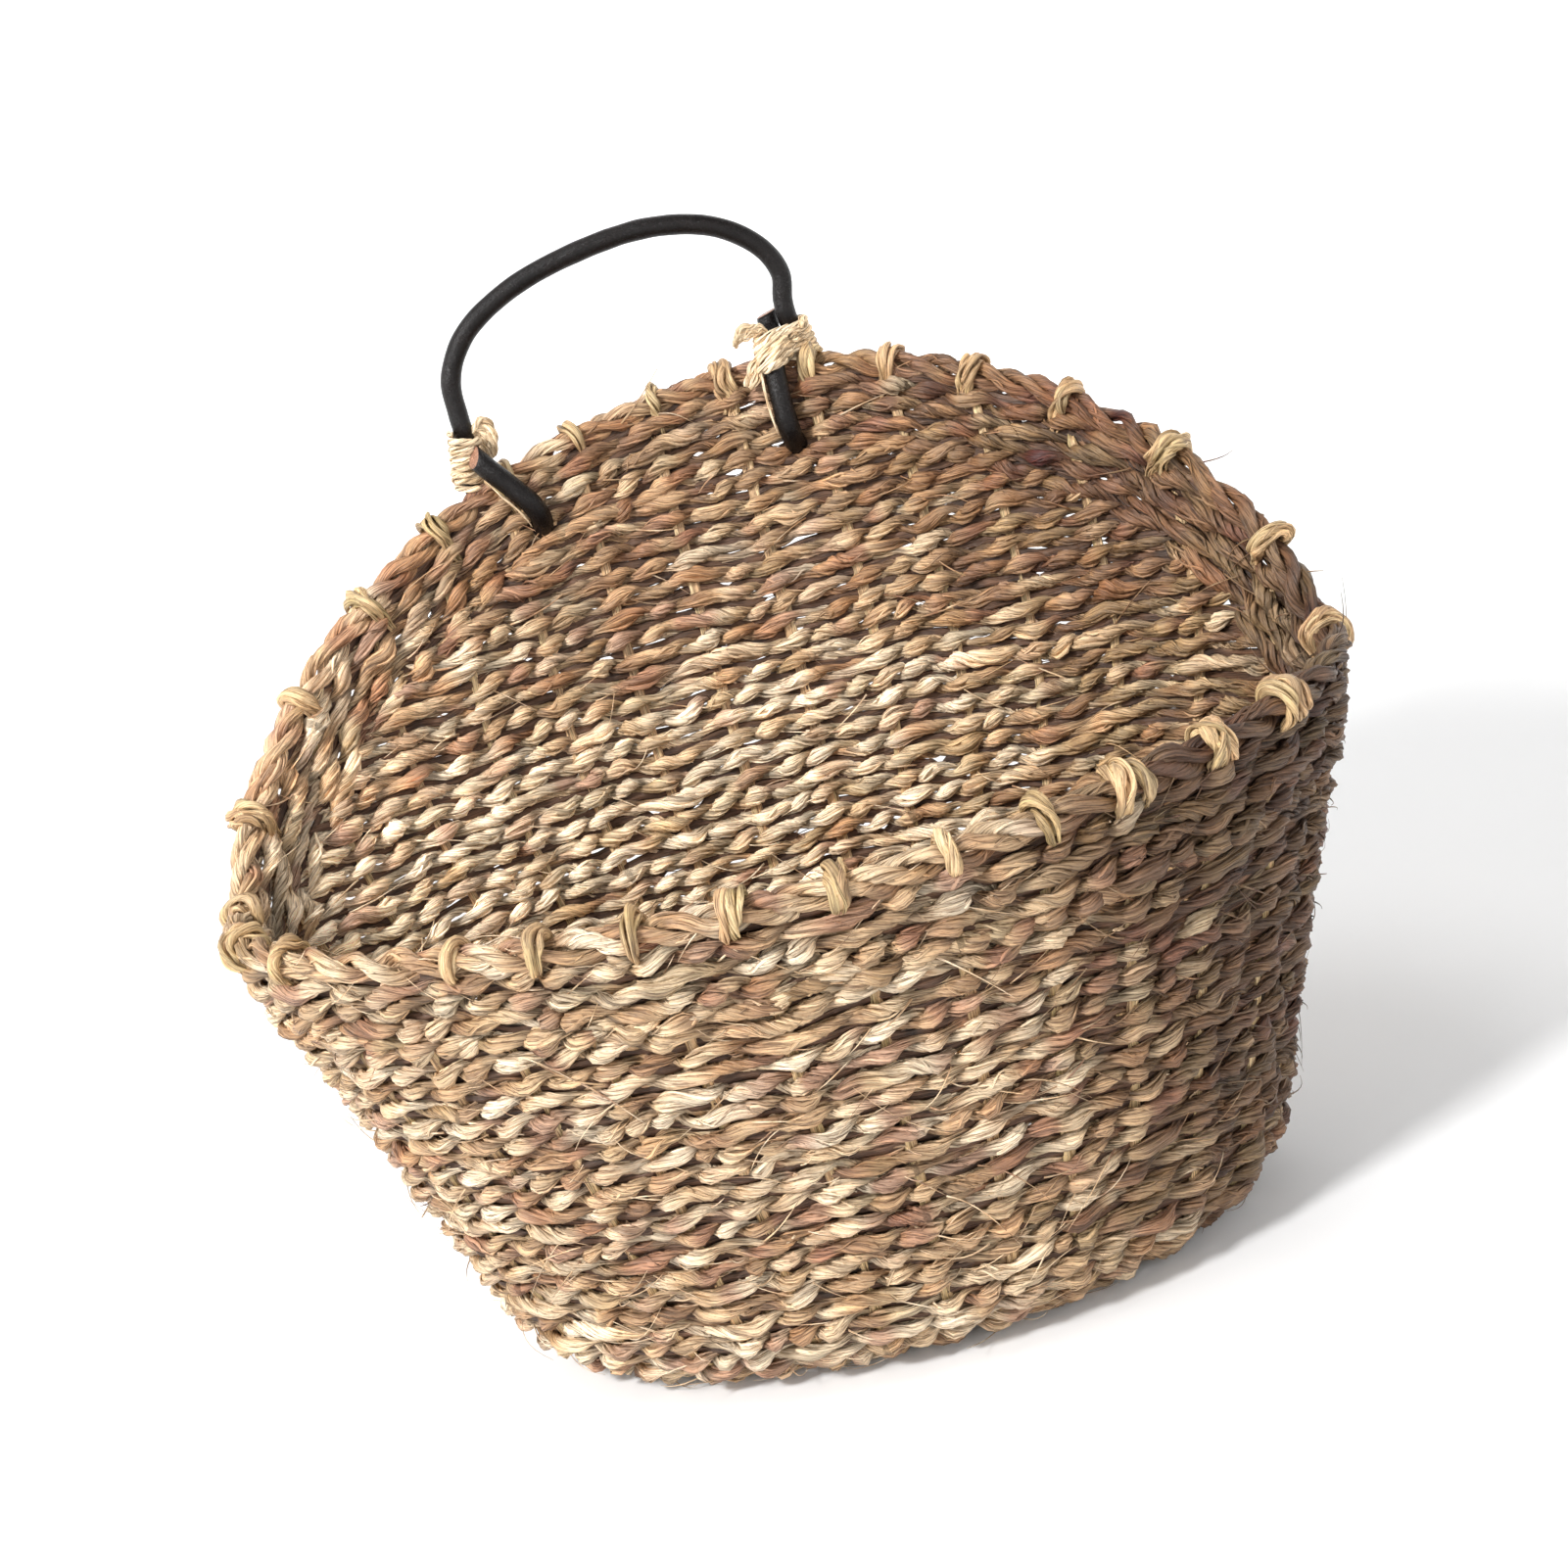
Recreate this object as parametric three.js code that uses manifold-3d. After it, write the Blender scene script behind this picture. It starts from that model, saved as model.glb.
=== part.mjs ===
// Seagrass wall basket: a flat oval base, upright stakes with weft rows woven round them,
// a high arched back, a thicker band along the rim, a rope border, and a leather loop handle
// whose two ends pass through the back wall and are bound to themselves with twine.
// Millimetres. +Z is up, -Y is the open front, and the origin is the centre of the base's underside.

import * as THREE from 'three';
import { mergeVertices } from 'three/addons/utils/BufferGeometryUtils.js';
import Module from 'manifold-3d';

const wasm = await Module();
wasm.setup();

// The middle of the wall's thickness, as half widths (X) and half depths (Y).
const BASE_HALF_WIDTH = 119;
const BASE_HALF_DEPTH = 76;
const MOUTH_HALF_WIDTH = 176;
const MOUTH_HALF_DEPTH = 97;

// The rim's height at its two corners, in the middle of the front and in the middle of the back.
const CORNER_HEIGHT = 171;
const FRONT_DIP = 9;
const ARCH_RISE = 114;
const ARCH_SKEW = 0.06;
const ARCH_EASE = 0.12;
const ARCH_LEAN = 0.25;
const FLARE_EASE = 30;

const WALL_THICKNESS = 8;
const FOOT_RADIUS = 22;
const GAP = 0.3;
const MAT_GAP = 2.4;

// Weft rows, from the foot upwards. Rows above LAST_RING_TOP only cross the back.
const FOOT_RING_START = 6.8;
const FOOT_RING_TOP = 32;
const RING_COUNT = 2;
const LAST_RING_TOP = 133;
const ARCH_ROW_COUNT = 4;
const LEAST_ROW_HEIGHT = 2;
const LEAST_SECTION_TURN = 0.02;

// The band of thicker rows that follows the rim, and the rope that edges it.
const BAND_DEPTH = 38;
const BAND_PROUD = 3;
const BORDER_RADIUS = 4.8;
const BORDER_OFFSET = 1.5;
const BORDER_SIDES = 6;
const BORDER_CLEARANCE = 0.8;

// Stakes: straw bundles that the weft is woven round.
const STAKE_COUNT = 30;
const STAKE_WIDTH = 3.6;
const STAKE_THICKNESS = 3;
const STAKE_START = 18;
const STAKE_TOP_COVER = 2;
const STAKE_CLEARANCE = 0.35;
const TALL_STAKE_RIM = CORNER_HEIGHT + 2 * BAND_DEPTH;

// Leather handle. The loop bends at two points, one above each binding.
const LEATHER_RADIUS = 3.25;
const LEATHER_SIDES = 8;
const LEATHER_CLEARANCE = 0.4;
const BEND_GAP = 4.2;
const STRAIGHT_START = 3;
const LOOP_STEPS = 32;
const END_STEPS = 24;
const BINDING_WALL = 1.9;
const BINDING_HEIGHT = 12.5;
const BINDING_SIDES = 16;
const BINDING_GAP = 0.2;
const BINDING_FOOT_FULLNESS = 5;
const BINDING_TOP_FULLNESS = 0.6;

const FOOT_ARC = FOOT_RADIUS * Math.PI / 2;
const HALF_WALL = WALL_THICKNESS / 2;
const FOOT_TOP = HALF_WALL + FOOT_RADIUS;

// Numerical steps: for slopes, for a search that halves its range, and for joining equal points.
const SLOPE_STEP = 0.01;
const SEARCH_STEPS = 40;
const MERGE_DISTANCE = 1e-4;

const SEAGRASS = { color: 0xb08d5f, roughness: 0.75, metalness: 0 };
const SEAGRASS_BAND = { color: 0x9c7048, roughness: 0.75, metalness: 0 };
const STRAW = { color: 0xaa9a58, roughness: 0.7, metalness: 0 };
const TWINE = { color: 0xd2b98d, roughness: 0.8, metalness: 0 };
const LEATHER = { color: 0x241c19, roughness: 0.45, metalness: 0 };

// ---- The wall's surface ----

const lerp = THREE.MathUtils.lerp;

// The part of a height over which the wall flares. It levels off smoothly at the corners' height.
function flareHeight(z) {
  const into = THREE.MathUtils.clamp(z - CORNER_HEIGHT + FLARE_EASE, 0, 2 * FLARE_EASE);
  return Math.min(z - into * into / (4 * FLARE_EASE), CORNER_HEIGHT);
}

function halfWidth(z) {
  return lerp(BASE_HALF_WIDTH, MOUTH_HALF_WIDTH, flareHeight(z) / CORNER_HEIGHT);
}

function halfDepth(z) {
  const flared = lerp(BASE_HALF_DEPTH, MOUTH_HALF_DEPTH, flareHeight(z) / CORNER_HEIGHT);
  return flared + ARCH_LEAN * (z - flareHeight(z));
}

// The distance up the wall's profile that reaches height z, measured from where the foot starts to curve.
function climbTo(z) {
  return FOOT_ARC + z - FOOT_TOP;
}

// A point in the middle of the wall: turn is the angle round the oval, climb the distance up the profile.
function middlePoint(turn, climb) {
  const bend = Math.min(climb / FOOT_RADIUS, Math.PI / 2);
  const inset = FOOT_RADIUS * (1 - Math.sin(bend));
  const z = HALF_WALL + FOOT_RADIUS * (1 - Math.cos(bend)) + Math.max(climb - FOOT_ARC, 0);
  const x = (halfWidth(z) - inset) * Math.cos(turn);
  const y = (halfDepth(z) - inset) * Math.sin(turn);
  return new THREE.Vector3(x, y, z);
}

// The wall's outward normal, from two short steps along its surface.
function wallNormal(turn, climb) {
  const along = middlePoint(turn + SLOPE_STEP, climb).sub(middlePoint(turn - SLOPE_STEP, climb));
  const up = middlePoint(turn, climb + SLOPE_STEP).sub(middlePoint(turn, climb - SLOPE_STEP));
  return along.cross(up).normalize();
}

function wallPoint(turn, climb, offset) {
  return middlePoint(turn, climb).addScaledVector(wallNormal(turn, climb), offset);
}

// A point beside the back wall, given by its x and z and its distance outward from the wall's middle.
function backWallPoint(x, z, offset) {
  return wallPoint(Math.acos(x / halfWidth(z)), climbTo(z), offset);
}

// The rim: it dips at the front, and rises at the back to an arch that is fuller on the +X side.
function rimHeight(turn) {
  const s = Math.sin(turn);
  if (s < 0) {
    return CORNER_HEIGHT - FRONT_DIP * s * s;
  }
  const arch = (1 + ARCH_EASE) * s * s / (s + ARCH_EASE);
  return CORNER_HEIGHT + ARCH_RISE * arch * (1 + ARCH_SKEW * Math.cos(turn));
}

// How far below the rim the border reaches, straight down, which is further where the rim is steep.
function borderDepth(turn) {
  const rimPoint = (angle) => middlePoint(angle, climbTo(rimHeight(angle)));
  const along = rimPoint(turn + SLOPE_STEP).sub(rimPoint(turn - SLOPE_STEP));
  return BORDER_RADIUS * (1 + along.length() / Math.hypot(along.x, along.y)) + BORDER_CLEARANCE;
}

// The angle round the oval of a share of its perimeter, so that equal shares are equal distances.
function turnAt(share) {
  const a = MOUTH_HALF_WIDTH;
  const b = MOUTH_HALF_DEPTH;
  const perimeter = Math.PI * (3 * (a + b) - Math.sqrt((3 * a + b) * (a + 3 * b)));
  const endStretch = perimeter / (2 * Math.PI * b);
  const sideStretch = perimeter / (2 * Math.PI * a);
  const even = 2 * Math.PI * share;
  const second = (endStretch - sideStretch) / 4;
  const fourth = (endStretch + sideStretch - 2) / 8;
  return even + second * Math.sin(2 * even) + fourth * Math.sin(4 * even);
}

function stakeTurn(index) {
  return turnAt(index / STAKE_COUNT);
}

// ---- Solids ----

// A closed surface over a row of sections that all have the same number of points. Its four-sided
// faces split along mirrored diagonals, so that a row's top matches the bottom of the row above it.
function loft(sections, closed) {
  const sides = sections[0].length;
  const rows = sections.length;
  const positions = sections.flat().flatMap((point) => point.toArray());
  const index = [];
  const spans = closed ? rows : rows - 1;
  for (let row = 0; row < spans; row += 1) {
    const next = (row + 1) % rows;
    for (let side = 0; side < sides; side += 1) {
      const other = (side + 1) % sides;
      const a = row * sides + side;
      const b = row * sides + other;
      const c = next * sides + other;
      const d = next * sides + side;
      index.push(...(side < sides / 2 ? [a, b, d, b, c, d] : [a, b, c, a, c, d]));
    }
  }
  if (!closed) {
    const last = (rows - 1) * sides;
    for (let side = 1; side < sides - 1; side += 1) {
      index.push(0, side + 1, side);
      index.push(last, last + side, last + side + 1);
    }
  }
  const geometry = new THREE.BufferGeometry();
  geometry.setAttribute('position', new THREE.Float32BufferAttribute(positions, 3));
  geometry.setIndex(index);
  return geometry;
}

function toSolid(geometry) {
  const bare = geometry.clone();
  bare.deleteAttribute('normal');
  bare.deleteAttribute('uv');
  const merged = mergeVertices(bare, MERGE_DISTANCE);
  return new wasm.Manifold(new wasm.Mesh({
    numProp: 3,
    vertProperties: new Float32Array(merged.attributes.position.array),
    triVerts: new Uint32Array(merged.index.array),
  }));
}

// The geometry of a solid's largest piece, so that a cut leaves no crumbs.
function toGeometry(solid) {
  const pieces = solid.decompose();
  pieces.sort((one, other) => other.volume() - one.volume());
  const mesh = pieces[0].getMesh();
  const geometry = new THREE.BufferGeometry();
  geometry.setAttribute('position', new THREE.Float32BufferAttribute(mesh.vertProperties, 3));
  geometry.setIndex(Array.from(mesh.triVerts));
  return geometry;
}

function cut(geometry, cutters) {
  let solid = toSolid(geometry);
  for (const cutter of cutters) {
    solid = solid.subtract(cutter);
  }
  return toGeometry(solid);
}

function tube(points, radius, steps) {
  const outline = new THREE.Shape();
  for (let side = 0; side < LEATHER_SIDES; side += 1) {
    const angle = 2 * Math.PI * side / LEATHER_SIDES;
    const x = radius * Math.cos(angle);
    const y = radius * Math.sin(angle);
    if (side === 0) {
      outline.moveTo(x, y);
    } else {
      outline.lineTo(x, y);
    }
  }
  outline.closePath();
  const path = new THREE.CatmullRomCurve3(points, false, 'centripetal');
  return new THREE.ExtrudeGeometry(outline, { steps, bevelEnabled: false, extrudePath: path });
}

// ---- Base, stakes, weft rows, rim ----

function baseMat() {
  const edge = middlePoint(0, FOOT_RING_START - MAT_GAP).x;
  const side = middlePoint(Math.PI / 2, FOOT_RING_START - MAT_GAP).y;
  const outline = new THREE.Shape();
  outline.absellipse(0, 0, edge, side, 0, 2 * Math.PI);
  return new THREE.ExtrudeGeometry(outline, {
    depth: WALL_THICKNESS,
    curveSegments: STAKE_COUNT,
    bevelEnabled: false,
  });
}

// One stake, from inside the foot ring up to just under the border.
function stake(index, clearance) {
  const turn = stakeTurn(index);
  const top = climbTo(rimHeight(turn) - borderDepth(turn) - STAKE_TOP_COVER) + clearance;
  const climbs = [STAKE_START - clearance, (STAKE_START + FOOT_ARC) / 2, FOOT_ARC];
  if (rimHeight(turn) > TALL_STAKE_RIM) {
    climbs.push(climbTo(CORNER_HEIGHT));
  }
  climbs.push(top);
  const halfThickness = STAKE_THICKNESS / 2 + clearance;
  const half = STAKE_WIDTH / 2 + clearance;
  const sections = climbs.map((climb) => {
    const normal = wallNormal(turn, climb);
    const across = new THREE.Vector3(-normal.y, normal.x, 0).normalize();
    const centre = middlePoint(turn, climb);
    return [[1, 1], [1, -1], [-1, -1], [-1, 1]].map(([sideways, outward]) => centre.clone()
      .addScaledVector(across, sideways * half)
      .addScaledVector(normal, outward * halfThickness));
  });
  return loft(sections, false);
}

const stakeCutters = Array.from({ length: STAKE_COUNT }, (_, index) => toSolid(stake(index, STAKE_CLEARANCE)));

function bandBottom(turn) {
  return rimHeight(turn) - BAND_DEPTH;
}

// The corners of a row's cross section at one angle, between two distances up the profile.
function rowSection(turn, low, high, inner, outer) {
  return [
    wallPoint(turn, low, outer),
    wallPoint(turn, low, inner),
    wallPoint(turn, high, inner),
    wallPoint(turn, high, outer),
  ];
}

function ringTurns() {
  return Array.from({ length: 2 * STAKE_COUNT }, (_, step) => turnAt(step / (2 * STAKE_COUNT)));
}

// The lowest ring turns up from the base, so its section is curved.
function footRing() {
  const climbs = [0, 0.5, 1].map((share) => lerp(FOOT_RING_START, climbTo(FOOT_RING_TOP) - GAP, share));
  const sections = ringTurns().map((turn) => [
    ...climbs.map((climb) => wallPoint(turn, climb, -HALF_WALL)),
    ...climbs.toReversed().map((climb) => wallPoint(turn, climb, HALF_WALL)),
  ]);
  return cut(loft(sections, true), stakeCutters);
}

function weftRing(number) {
  const low = lerp(FOOT_RING_TOP, LAST_RING_TOP, (number - 1) / RING_COUNT);
  const high = lerp(FOOT_RING_TOP, LAST_RING_TOP, number / RING_COUNT);
  const sections = ringTurns().map((turn) => {
    const top = Math.min(high, bandBottom(turn)) - GAP;
    return rowSection(turn, climbTo(low), climbTo(top), -HALF_WALL, HALF_WALL);
  });
  return cut(loft(sections, true), stakeCutters);
}

// The angle, between from and to, where the space under the rim band closes on height z.
function turnWhereRowEnds(z, from, to) {
  let open = from;
  let shut = to;
  for (let step = 0; step < SEARCH_STEPS; step += 1) {
    const middle = (open + shut) / 2;
    if (bandBottom(middle) - GAP - LEAST_ROW_HEIGHT > z) {
      open = middle;
    } else {
      shut = middle;
    }
  }
  return open;
}

// A row that crosses only the back and ends under the rim band on both sides.
function archRow(number) {
  const archTop = CORNER_HEIGHT + ARCH_RISE - BAND_DEPTH;
  const low = lerp(LAST_RING_TOP, archTop, (number - 1) / ARCH_ROW_COUNT);
  const high = lerp(LAST_RING_TOP, archTop, number / ARCH_ROW_COUNT);
  const right = turnWhereRowEnds(low, Math.PI / 2, 0);
  const left = turnWhereRowEnds(low, Math.PI / 2, Math.PI);
  const between = (turn) => turn > right + LEAST_SECTION_TURN && turn < left - LEAST_SECTION_TURN;
  const sections = [right, ...ringTurns().filter(between), left].map((turn) => {
    const top = Math.min(high, bandBottom(turn)) - GAP;
    return rowSection(turn, climbTo(low), climbTo(top), -HALF_WALL, HALF_WALL);
  });
  return cut(loft(sections, false), [...stakeCutters, bandCutter()]);
}

// The space that the rim band takes, with its gap underneath.
function bandCutter() {
  const reach = WALL_THICKNESS;
  const sections = ringTurns().map((turn) => {
    const bottom = climbTo(bandBottom(turn)) - GAP;
    return rowSection(turn, bottom, bottom + BAND_DEPTH, -reach, reach);
  });
  return toSolid(loft(sections, true));
}

// The band of thicker rows under the border, which stands a little proud of the wall.
function rimBand(leatherCutters) {
  const sections = ringTurns().map((turn) => {
    const top = climbTo(rimHeight(turn) - borderDepth(turn));
    return rowSection(turn, climbTo(bandBottom(turn)), top, -HALF_WALL, HALF_WALL + BAND_PROUD);
  });
  return cut(loft(sections, true), [...stakeCutters, ...leatherCutters]);
}

function rimBorder() {
  const centre = (turn) => wallPoint(turn, climbTo(rimHeight(turn) - BORDER_RADIUS), BORDER_OFFSET);
  const sections = ringTurns().map((turn) => {
    const along = centre(turn + SLOPE_STEP).sub(centre(turn - SLOPE_STEP)).normalize();
    const normal = wallNormal(turn, climbTo(rimHeight(turn)));
    const up = along.clone().cross(normal).negate().normalize();
    const out = up.clone().cross(along).negate().normalize();
    return Array.from({ length: BORDER_SIDES }, (_, side) => {
      const angle = 2 * Math.PI * (side + 0.5) / BORDER_SIDES;
      return centre(turn)
        .addScaledVector(out, BORDER_RADIUS * Math.cos(angle))
        .addScaledVector(up, -BORDER_RADIUS * Math.sin(angle));
    });
  });
  return loft(sections, true);
}

// ---- Leather handle ----

// Where the loop bends, above its left and right bindings.
const BEND_LEFT = backWallPoint(-77.5, 270, 0).setZ(294);
const BEND_RIGHT = backWallPoint(41.5, 280, 0).setZ(302.5);

function underBend(bend, drop) {
  return bend.clone().setZ(bend.z - drop);
}

// Each end goes down behind the rim, through the wall, and back up its inner face to the binding.
const LEFT_END = [
  underBend(BEND_LEFT, BEND_GAP),
  underBend(BEND_LEFT, BEND_GAP + STRAIGHT_START),
  backWallPoint(-78, 282, 3),
  backWallPoint(-78.5, 276, 7.5),
  backWallPoint(-77, 268, 11.4),
  backWallPoint(-71, 258, 11.4),
  backWallPoint(-64, 250.5, 8),
  backWallPoint(-61, 248.5, 1.5),
  backWallPoint(-60.5, 251, -5),
  backWallPoint(-63, 257, -8.2),
  backWallPoint(-68, 266, -8.2),
  backWallPoint(-70.5, 275, -7),
  backWallPoint(-70.8, 281.5, -1.5),
  backWallPoint(-70.6, 290, 0),
];

const RIGHT_END = [
  underBend(BEND_RIGHT, BEND_GAP),
  underBend(BEND_RIGHT, BEND_GAP + STRAIGHT_START),
  backWallPoint(42.3, 287.5, 7.5),
  backWallPoint(41.5, 280, 11.4),
  backWallPoint(38, 266, 11.4),
  backWallPoint(35, 256.5, 8),
  backWallPoint(33.5, 253.5, 1.5),
  backWallPoint(33, 256.5, -5),
  backWallPoint(33, 265, -8.2),
  backWallPoint(33.5, 279, -8.2),
  backWallPoint(33.8, 288.5, -5.5),
  backWallPoint(34.1, 294, -1),
  backWallPoint(34, 305, 0),
];

// The loop's middle points, as x, z and a share of the way from the left bend's y to the right one's.
const LOOP = [
  BEND_LEFT,
  loopPoint(-76.5, 306, 0.02),
  loopPoint(-68, 319, 0.08),
  loopPoint(-50, 329.5, 0.25),
  loopPoint(-24, 336, 0.45),
  loopPoint(4, 337.5, 0.7),
  loopPoint(27, 332, 0.88),
  loopPoint(41, 321, 0.98),
  loopPoint(44.5, 310.5, 1),
  BEND_RIGHT,
];

function loopPoint(x, z, share) {
  return new THREE.Vector3(x, lerp(BEND_LEFT.y, BEND_RIGHT.y, share), z);
}

// The loop's ends are round, so that they can turn at the bends.
function handleLoop() {
  const ends = [BEND_LEFT, BEND_RIGHT].map((bend) => {
    const ball = new THREE.SphereGeometry(LEATHER_RADIUS, LEATHER_SIDES, LEATHER_SIDES / 2);
    return toSolid(ball.translate(bend.x, bend.y, bend.z));
  });
  return toGeometry(toSolid(tube(LOOP, LEATHER_RADIUS, LOOP_STEPS)).add(ends[0]).add(ends[1]));
}

function leatherCutter(route) {
  return toSolid(tube(route, LEATHER_RADIUS + LEATHER_CLEARANCE, END_STEPS));
}

// The twine binding: a sleeve that tapers upwards round both runs of one leather end.
function binding(route, standing, tail) {
  const top = standing.z - BEND_GAP - BINDING_GAP;
  const across = new THREE.Vector3(tail.x - standing.x, tail.y - standing.y, 0);
  const halfSpan = across.length() / 2;
  across.normalize();
  const outward = new THREE.Vector3(-across.y, across.x, 0);
  const centre = new THREE.Vector3((standing.x + tail.x) / 2, (standing.y + tail.y) / 2, 0);
  const sections = [0, 0.5, 1].map((share) => {
    const wide = halfSpan + LEATHER_RADIUS + BINDING_WALL;
    const deep = LEATHER_RADIUS + BINDING_WALL + lerp(BINDING_FOOT_FULLNESS, BINDING_TOP_FULLNESS, share);
    return Array.from({ length: BINDING_SIDES }, (_, side) => {
      const angle = 2 * Math.PI * side / BINDING_SIDES;
      return centre.clone()
        .addScaledVector(across, wide * Math.cos(angle))
        .addScaledVector(outward, deep * Math.sin(angle))
        .setZ(top - BINDING_HEIGHT * (1 - share));
    });
  });
  return cut(loft(sections, false), [leatherCutter(route)]);
}

// ---- Assembly ----

const basket = new THREE.Group();

function addPart(name, geometry, finish) {
  const mesh = new THREE.Mesh(geometry, new THREE.MeshStandardMaterial(finish));
  mesh.name = name;
  basket.add(mesh);
}

addPart('base_mat', baseMat(), SEAGRASS);
for (let index = 0; index < STAKE_COUNT; index += 1) {
  addPart(`stake_${String(index + 1).padStart(2, '0')}`, stake(index, 0), STRAW);
}
addPart('weft_foot_ring', footRing(), SEAGRASS);
for (let number = 1; number <= RING_COUNT; number += 1) {
  addPart(`weft_ring_${number}`, weftRing(number), SEAGRASS);
}
for (let number = 1; number <= ARCH_ROW_COUNT; number += 1) {
  addPart(`arch_row_${number}`, archRow(number), SEAGRASS);
}
addPart('rim_band', rimBand([leatherCutter(LEFT_END), leatherCutter(RIGHT_END)]), SEAGRASS_BAND);
addPart('rim_border', rimBorder(), SEAGRASS_BAND);
addPart('handle_end_left', tube(LEFT_END, LEATHER_RADIUS, END_STEPS), LEATHER);
addPart('handle_end_right', tube(RIGHT_END, LEATHER_RADIUS, END_STEPS), LEATHER);
addPart('binding_left', binding(LEFT_END, BEND_LEFT, LEFT_END.at(-1)), TWINE);
addPart('binding_right', binding(RIGHT_END, BEND_RIGHT, RIGHT_END.at(-1)), TWINE);
addPart('handle_loop', handleLoop(), LEATHER);

export default basket;
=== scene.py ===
"""The looks of a seagrass wall basket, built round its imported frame.

Every weft row is a pair of seagrass strands that wind round each other, with straw stakes between them.
Lengths are in millimetres until a mesh is made, which is in metres. +Z is up and -Y is the open front.
"""

import math

import bpy
import numpy as np
from mathutils import Matrix, Vector


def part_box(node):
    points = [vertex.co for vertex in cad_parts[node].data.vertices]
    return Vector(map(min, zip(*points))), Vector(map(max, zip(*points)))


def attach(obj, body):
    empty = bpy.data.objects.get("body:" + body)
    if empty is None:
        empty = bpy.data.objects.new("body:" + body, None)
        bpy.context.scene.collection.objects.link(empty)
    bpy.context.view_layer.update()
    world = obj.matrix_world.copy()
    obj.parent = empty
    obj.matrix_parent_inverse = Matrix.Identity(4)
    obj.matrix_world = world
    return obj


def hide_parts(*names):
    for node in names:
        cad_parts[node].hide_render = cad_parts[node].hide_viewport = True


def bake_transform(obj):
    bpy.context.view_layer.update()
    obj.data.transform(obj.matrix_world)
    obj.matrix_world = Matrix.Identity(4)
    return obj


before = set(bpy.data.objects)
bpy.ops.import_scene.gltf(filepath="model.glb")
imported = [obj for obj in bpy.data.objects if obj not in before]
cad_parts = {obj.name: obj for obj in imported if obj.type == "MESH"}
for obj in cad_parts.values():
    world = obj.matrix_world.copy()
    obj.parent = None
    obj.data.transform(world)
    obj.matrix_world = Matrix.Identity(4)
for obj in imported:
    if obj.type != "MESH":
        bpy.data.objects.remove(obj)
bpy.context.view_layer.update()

# Millimetres in metres, the small step that slopes are taken over, a full turn and two directions.
MM = 0.001
NUDGE = 0.01
FULL = 2 * math.pi
FORWARD, BACKWARD = (0, -1, 0), (0, 1, 0)

# Each kind of piece has its own seed, so that a change in one leaves the others alone.
SEED = 20
KIND_SEEDS = {
    "level": 100, "band": 300, "border": 400, "base": 500,
    "stake": 600, "leather": 700, "twine": 800, "fibre": 900,
}

# The middle of the wall's thickness: the same driving dimensions as the frame's part.
BASE_HALF_WIDTH = 119
BASE_HALF_DEPTH = 76
MOUTH_HALF_WIDTH = 176
MOUTH_HALF_DEPTH = 97
CORNER_HEIGHT = 171
FRONT_DIP = 9
ARCH_RISE = 114
ARCH_SKEW = 0.06
ARCH_EASE = 0.12
ARCH_LEAN = 0.25
FLARE_EASE = 30
FOOT_RADIUS = 22
HALF_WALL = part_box("base_mat")[1].z / MM / 2
FOOT_ARC = FOOT_RADIUS * math.pi / 2
FOOT_TOP = HALF_WALL + FOOT_RADIUS
STAKE_COUNT = sum(node.startswith("stake_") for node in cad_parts)

# Weft rows. Each kind has a strand size, a spread and a pitch.
ROW_PITCH = 6.4
COARSE_PITCH = 6.9
BASE_PITCH = 6.5
BAND_PITCH = 6.4
FINE_ROW = (1.08, 1.0, ROW_PITCH)
COARSE_ROW = (1.2, 1.12, COARSE_PITCH)
BASE_ROW = (1.04, 0.8, BASE_PITCH)
BAND_ROW = (1.27, 1.15, BAND_PITCH)
COARSE_START = 125
FIRST_WALL_ROW = 6.0
BASE_ROW_COUNT = 9
BASE_STAKE_STEP = 24
FEWEST_STAKES = 4
BAND_ROW_COUNT = 4
BAND_OFFSET = 1.2
BAND_RUDDY = 0.75
BACK_WIDENING = 0.08
TUCK = 7.0

# The rope of the border, and how its cords are laid together and pinched by the stakes.
BORDER_RADIUS = 4.8
BORDER_OFFSET = 1.5
BORDER_DEPTH = 8.7
BORDER_CORDS = 3
BORDER_CORD = 1.2
BORDER_REACH = 2.8
BORDER_LAY = 40
BORDER_TWIST = 60
BORDER_RUDDY = 0.9
PINCH = 0.16
PINCH_REACH = 4.0

# A strand is a bundle of leaves with a slow twist. Sizes are those of a leaf, and how far out it lies.
STEP = 1.8
LEAF_SIDES, STRIP_SIDES, PAINTED_SHADOW_STRIP_SIDES, STRAW_SIDES, FIBRE_SIDES = 6, 4, 5, 8, 4
LEAF_COUNT = 5
LEAF_HALF_DEPTH = 0.55
LEAF_HALF_WIDTH = 1.18
LEAF_OUT = 1.1
LEAF_LIFT = 0.22
LEAF_TILT = 0.5
LEAF_TWIST = -34.0
STRIP_OUT = 1.6
STRIP_HALF_DEPTH = 0.22
STRIP_HALF_WIDTH = 0.55
# How much lighter the strips are painted: a painted sheen.
STRIP_SHEEN = 1.12

# Two strands that wind round each other: how far they swing, and how many lobes are long, low and high up.
PAIR_DEPTH = 2.25
STAKE_DEPTH = 0.5
PAIR_RISE = 1.3
LONG_LOBES_LOW = 0.75
LONG_LOBES_HIGH = 0.35
# Painted shadow: how dark a strand is painted where it crosses the middle of the wall.
PAINTED_CREVICE_SHADOW = 0.56
# The half sizes of a thin dark strip of painted shadow above each row.
PAINTED_SHADOW_STRIP = (0.5, 1.7)
SPINDLE = 0.27
SAG = 1.3

# Strands that would sink into the floor are squeezed on it, below this height and a little lower.
SQUEEZE_TOP = 2.0
SQUEEZE_DROP = 0.1

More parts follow.
